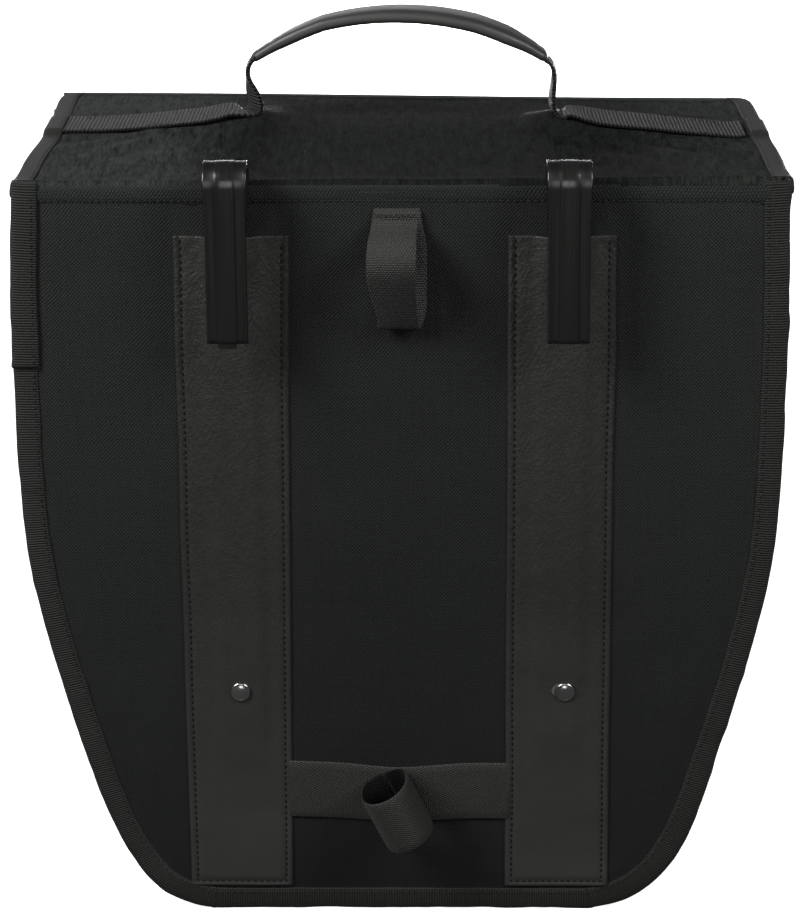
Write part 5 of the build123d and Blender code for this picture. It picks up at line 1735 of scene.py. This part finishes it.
def build_buckle(side):
    end = "left" if side < 0 else "right"
    bx = side * BUCKLE_X
    H = 15.9
    # upper half: two faces held apart by side walls, with a window each side
    outer = arc_pts(bx + H - 3, 253.2, 3.0, 0, 90) + arc_pts(bx - H + 3, 253.2, 3.0, 90, 180) + [(bx - H, 244.5), (bx - H + 2.2, 242.8), (bx - H + 2.6, 240), (bx - H + 2.2, 237.0), (bx - H, 235.2), (bx - H, 232.3)]
    outer += [(bx - 7.0, 232.3), (bx - 4.5, 233.8), (bx + 4.5, 233.8), (bx + 7.0, 232.3)]
    outer += [(bx + H, 232.3), (bx + H, 235.2), (bx + H - 2.2, 237.0), (bx + H - 2.6, 240), (bx + H - 2.2, 242.8), (bx + H, 244.5)]
    hole = [(bx - 12.9, 247.8), (bx + 12.9, 247.8), (bx + 12.9, 252.4), (bx - 12.9, 252.4)]
    outline_plate(f"buckle_upper_{end}_face", outer, 88.2, 90.3, M_BUCKLE, holes=[hole], bevel=0.8, body="flap_skirt")
    outline_plate(f"buckle_upper_{end}_rear", outer, 80.3, 81.8, M_BUCKLE, holes=[hole], bevel=0.6, body="flap_skirt")
    for q in (-1, 1):
        a, b = sorted((bx + q * 13.3, bx + q * 15.6))
        rounded_box(f"buckle_upper_{end}_wall_{('l', 'r')[q > 0]}", (a, 81.0, 243.4), (b, 89.0, 255.4), 0.7, M_BUCKLE, body="flap_skirt")
        rounded_box(f"buckle_upper_{end}_foot_{('l', 'r')[q > 0]}", (a, 81.0, 232.6), (b, 89.0, 236.2), 0.7, M_BUCKLE, body="flap_skirt")
    bar = rounded_box(f"buckle_upper_{end}_bar", (bx - 14.0, 83.2, 252.5), (bx + 14.0, 86.8, 255.8), 1.2, M_BUCKLE, body="flap_skirt")
    rounded_box(f"buckle_upper_{end}_web", (bx - 14.0, 81.3, 246.2), (bx + 14.0, 88.8, 248.4), 0.5, M_BUCKLE, body="flap_skirt")
    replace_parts(bar, f"buckle_receptacle_{end}")
    # a raised ridge across the face
    rounded_box(f"buckle_upper_{end}_ridge", (bx - 8.0, 89.6, 240.0), (bx + 8.0, 90.9, 241.6), 0.55, M_BUCKLE, body="flap_skirt")
    # lower half
    body = f"plug_{end}"
    outer = [(bx - H, 231.2), (bx - H, 212.2)] + arc_pts(bx - H + 3, 212.2, 3.0, 180, 270)[1:] + arc_pts(bx + H - 3, 212.2, 3.0, 270, 360) + [(bx + H, 231.2), (bx + 7, 231.2), (bx + 5, 229.6), (bx - 5, 229.6), (bx - 7, 231.2)]
    hole = [(bx - 12.9, 213.0), (bx + 12.9, 213.0), (bx + 12.9, 218.3), (bx - 12.9, 218.3)]
    outline_plate(f"buckle_lower_{end}_face", outer, 87.4, 90.2, M_BUCKLE, holes=[hole], bevel=0.9, body=body)
    outline_plate(f"buckle_lower_{end}_rear", outer, 80.4, 82.4, M_BUCKLE, holes=[hole], bevel=0.6, body=body)
    core = rounded_box(f"buckle_lower_{end}_core", (bx - 14.8, 81.6, 219.2), (bx + 14.8, 88.4, 231.0), 0.6, M_BUCKLE, body=body)
    for q in (-1, 1):
        a, b = sorted((bx + q * 13.3, bx + q * 15.6))
        rounded_box(f"buckle_lower_{end}_wall_{('l', 'r')[q > 0]}", (a, 81.4, 210.4), (b, 88.8, 221.0), 0.7, M_BUCKLE, body=body)
    rounded_box(f"buckle_lower_{end}_bar", (bx - 14.0, 83.2, 209.3), (bx + 14.0, 86.8, 212.6), 1.2, M_BUCKLE, body=body)
    rounded_box(f"buckle_lower_{end}_grip1", (bx - 7.5, 89.4, 222.4), (bx + 7.5, 90.8, 223.6), 0.5, M_BUCKLE, body=body)
    rounded_box(f"buckle_lower_{end}_grip2", (bx - 7.5, 89.4, 225.4), (bx + 7.5, 90.8, 226.6), 0.5, M_BUCKLE, body=body)
    rounded_box(f"buckle_lower_{end}_prong", (bx - 2.4, 83.1, 230.5), (bx + 2.4, 86.9, 245.3), 0.9, M_BUCKLE, body=body)
    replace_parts(core, f"buckle_plug_{end}")
    arms = None
    for q in (-1, 1):
        line = [(7.4, 230.6), (11.2, 230.6), (12.8, 235.4), (15.2, 236.6), (16.6, 238.4), (16.3, 240.8), (15.0, 242.6), (13.2, 243.8), (11.6, 243.9), (10.8, 241.0), (10.4, 237.2)]
        pts = [(bx + q * x, z) for x, z in line]
        arms = outline_plate(f"buckle_arm_{end}_{('l', 'r')[q > 0]}", pts, 82.3, 87.7, M_BUCKLE, bevel=0.6, body=body)
    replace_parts(arms, f"buckle_arms_{end}")

    # webbing on the skirt, round the upper half's bar
    w = 24.6
    zs = np.linspace(381.0, 272.0, 46)
    ys = SKIRT_Y + 0.1 + skirt_out(np.full(len(zs), bx), zs) + 0.15
    path = [(ys[k], zs[k]) for k in range(len(zs))]
    path += [(83.0, 266.0), (84.6, 260.5), (87.2, 257.6), (88.1, 254.6), (87.3, 251.6), (85.0, 250.7), (82.6, 251.6), (81.75, 254.6), (82.2, 259.5), (82.35, 266.0)]
    path = np.array(path)
    path = catmull(path, 1.5)
    c = np.stack([np.full(len(path), bx), path[:, 0], path[:, 1]], 1)
    o = ribbon(f"skirt_strap_{end}", c, np.array([-1.0, 0, 0]), w, 1.35, M_WEB_FLAT, slot="webbing")
    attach(o, "flap_skirt")
    if side < 0:
        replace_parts(o, "buckle_straps")
    # sewn box with one diagonal across it
    def on_strap(x, z):
        return (x, float(SKIRT_Y + 0.1 + skirt_out(np.array([bx]), np.array([z]))[0]) + 1.62, z)
    box_ = [on_strap(bx - 9.5, 377.0), on_strap(bx + 9.5, 377.0), on_strap(bx + 9.5, 358.0), on_strap(bx - 9.5, 358.0), on_strap(bx - 9.5, 377.0), on_strap(bx + 9.5, 358.0)]
    st_ = stitches(f"skirt_strap_thread_{end}", box_, (0, 1, 0), 2.2, 0.9, 0.27, M_THREAD)
    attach(st_, "flap_skirt")
    box_ = [on_strap(bx - 9.5, 372.0), on_strap(bx - 9.5, 276.0)]
    for q in (-1, 1):
        st_ = stitches(f"skirt_strap_thread_{end}_{('l', 'r')[q > 0]}", [on_strap(bx + q * 10.6, z) for z in np.linspace(355, 274, 40)], (0, 1, 0), 2.4, 1.0, 0.25, M_THREAD)
        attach(st_, "flap_skirt")

    # webbing from the front panel up to the lower half
    zs = np.linspace(70.0, 176.0, 44)
    ys = np.array([front_y(bx, z) for z in zs]) + 0.25
    path = [(ys[k], zs[k]) for k in range(len(zs))]
    last = ys[-1]
    path += [(max(last, 80.6) + 0.3, 190.0), (82.0, 199.0), (83.0, 205.0), (84.6, 207.9), (87.2, 208.9), (88.2, 211.4), (87.2, 213.8), (85.0, 214.4), (82.8, 213.6), (82.0, 211.2), (82.3, 207.0)]
    path = catmull(np.array(path), 1.5)
    c = np.stack([np.full(len(path), bx), path[:, 0], path[:, 1]], 1)
    o = ribbon(f"front_strap_{end}", c, np.array([1.0, 0, 0]), w, 1.35, M_WEB_FLAT, slot="webbing")
    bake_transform(o)
    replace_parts(o, f"closure_strap_{end}")

    def on_panel(x, z):
        return (x, float(front_y(bx, z)) + 1.75, z)
    box_ = [on_panel(bx - 9.5, 74.0), on_panel(bx + 9.5, 74.0), on_panel(bx + 9.5, 94.0), on_panel(bx - 9.5, 94.0), on_panel(bx - 9.5, 74.0), on_panel(bx + 9.5, 94.0)]
    st_ = stitches(f"front_strap_thread_{end}", box_, (0, 1, 0), 2.2, 0.9, 0.27, M_THREAD)
    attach(st_, "bag")


build_buckle(-1)
build_buckle(1)

# ------------------------------------------------------------------ pieces of the CAD that are shown as they are
for name in ("back_board", "base_board"):
    NODES[name].data.materials.clear()
    NODES[name].data.materials.append(M_BOARD)
NODES["rivet_washers"].data.materials.clear()
NODES["rivet_washers"].data.materials.append(M_RIVET)
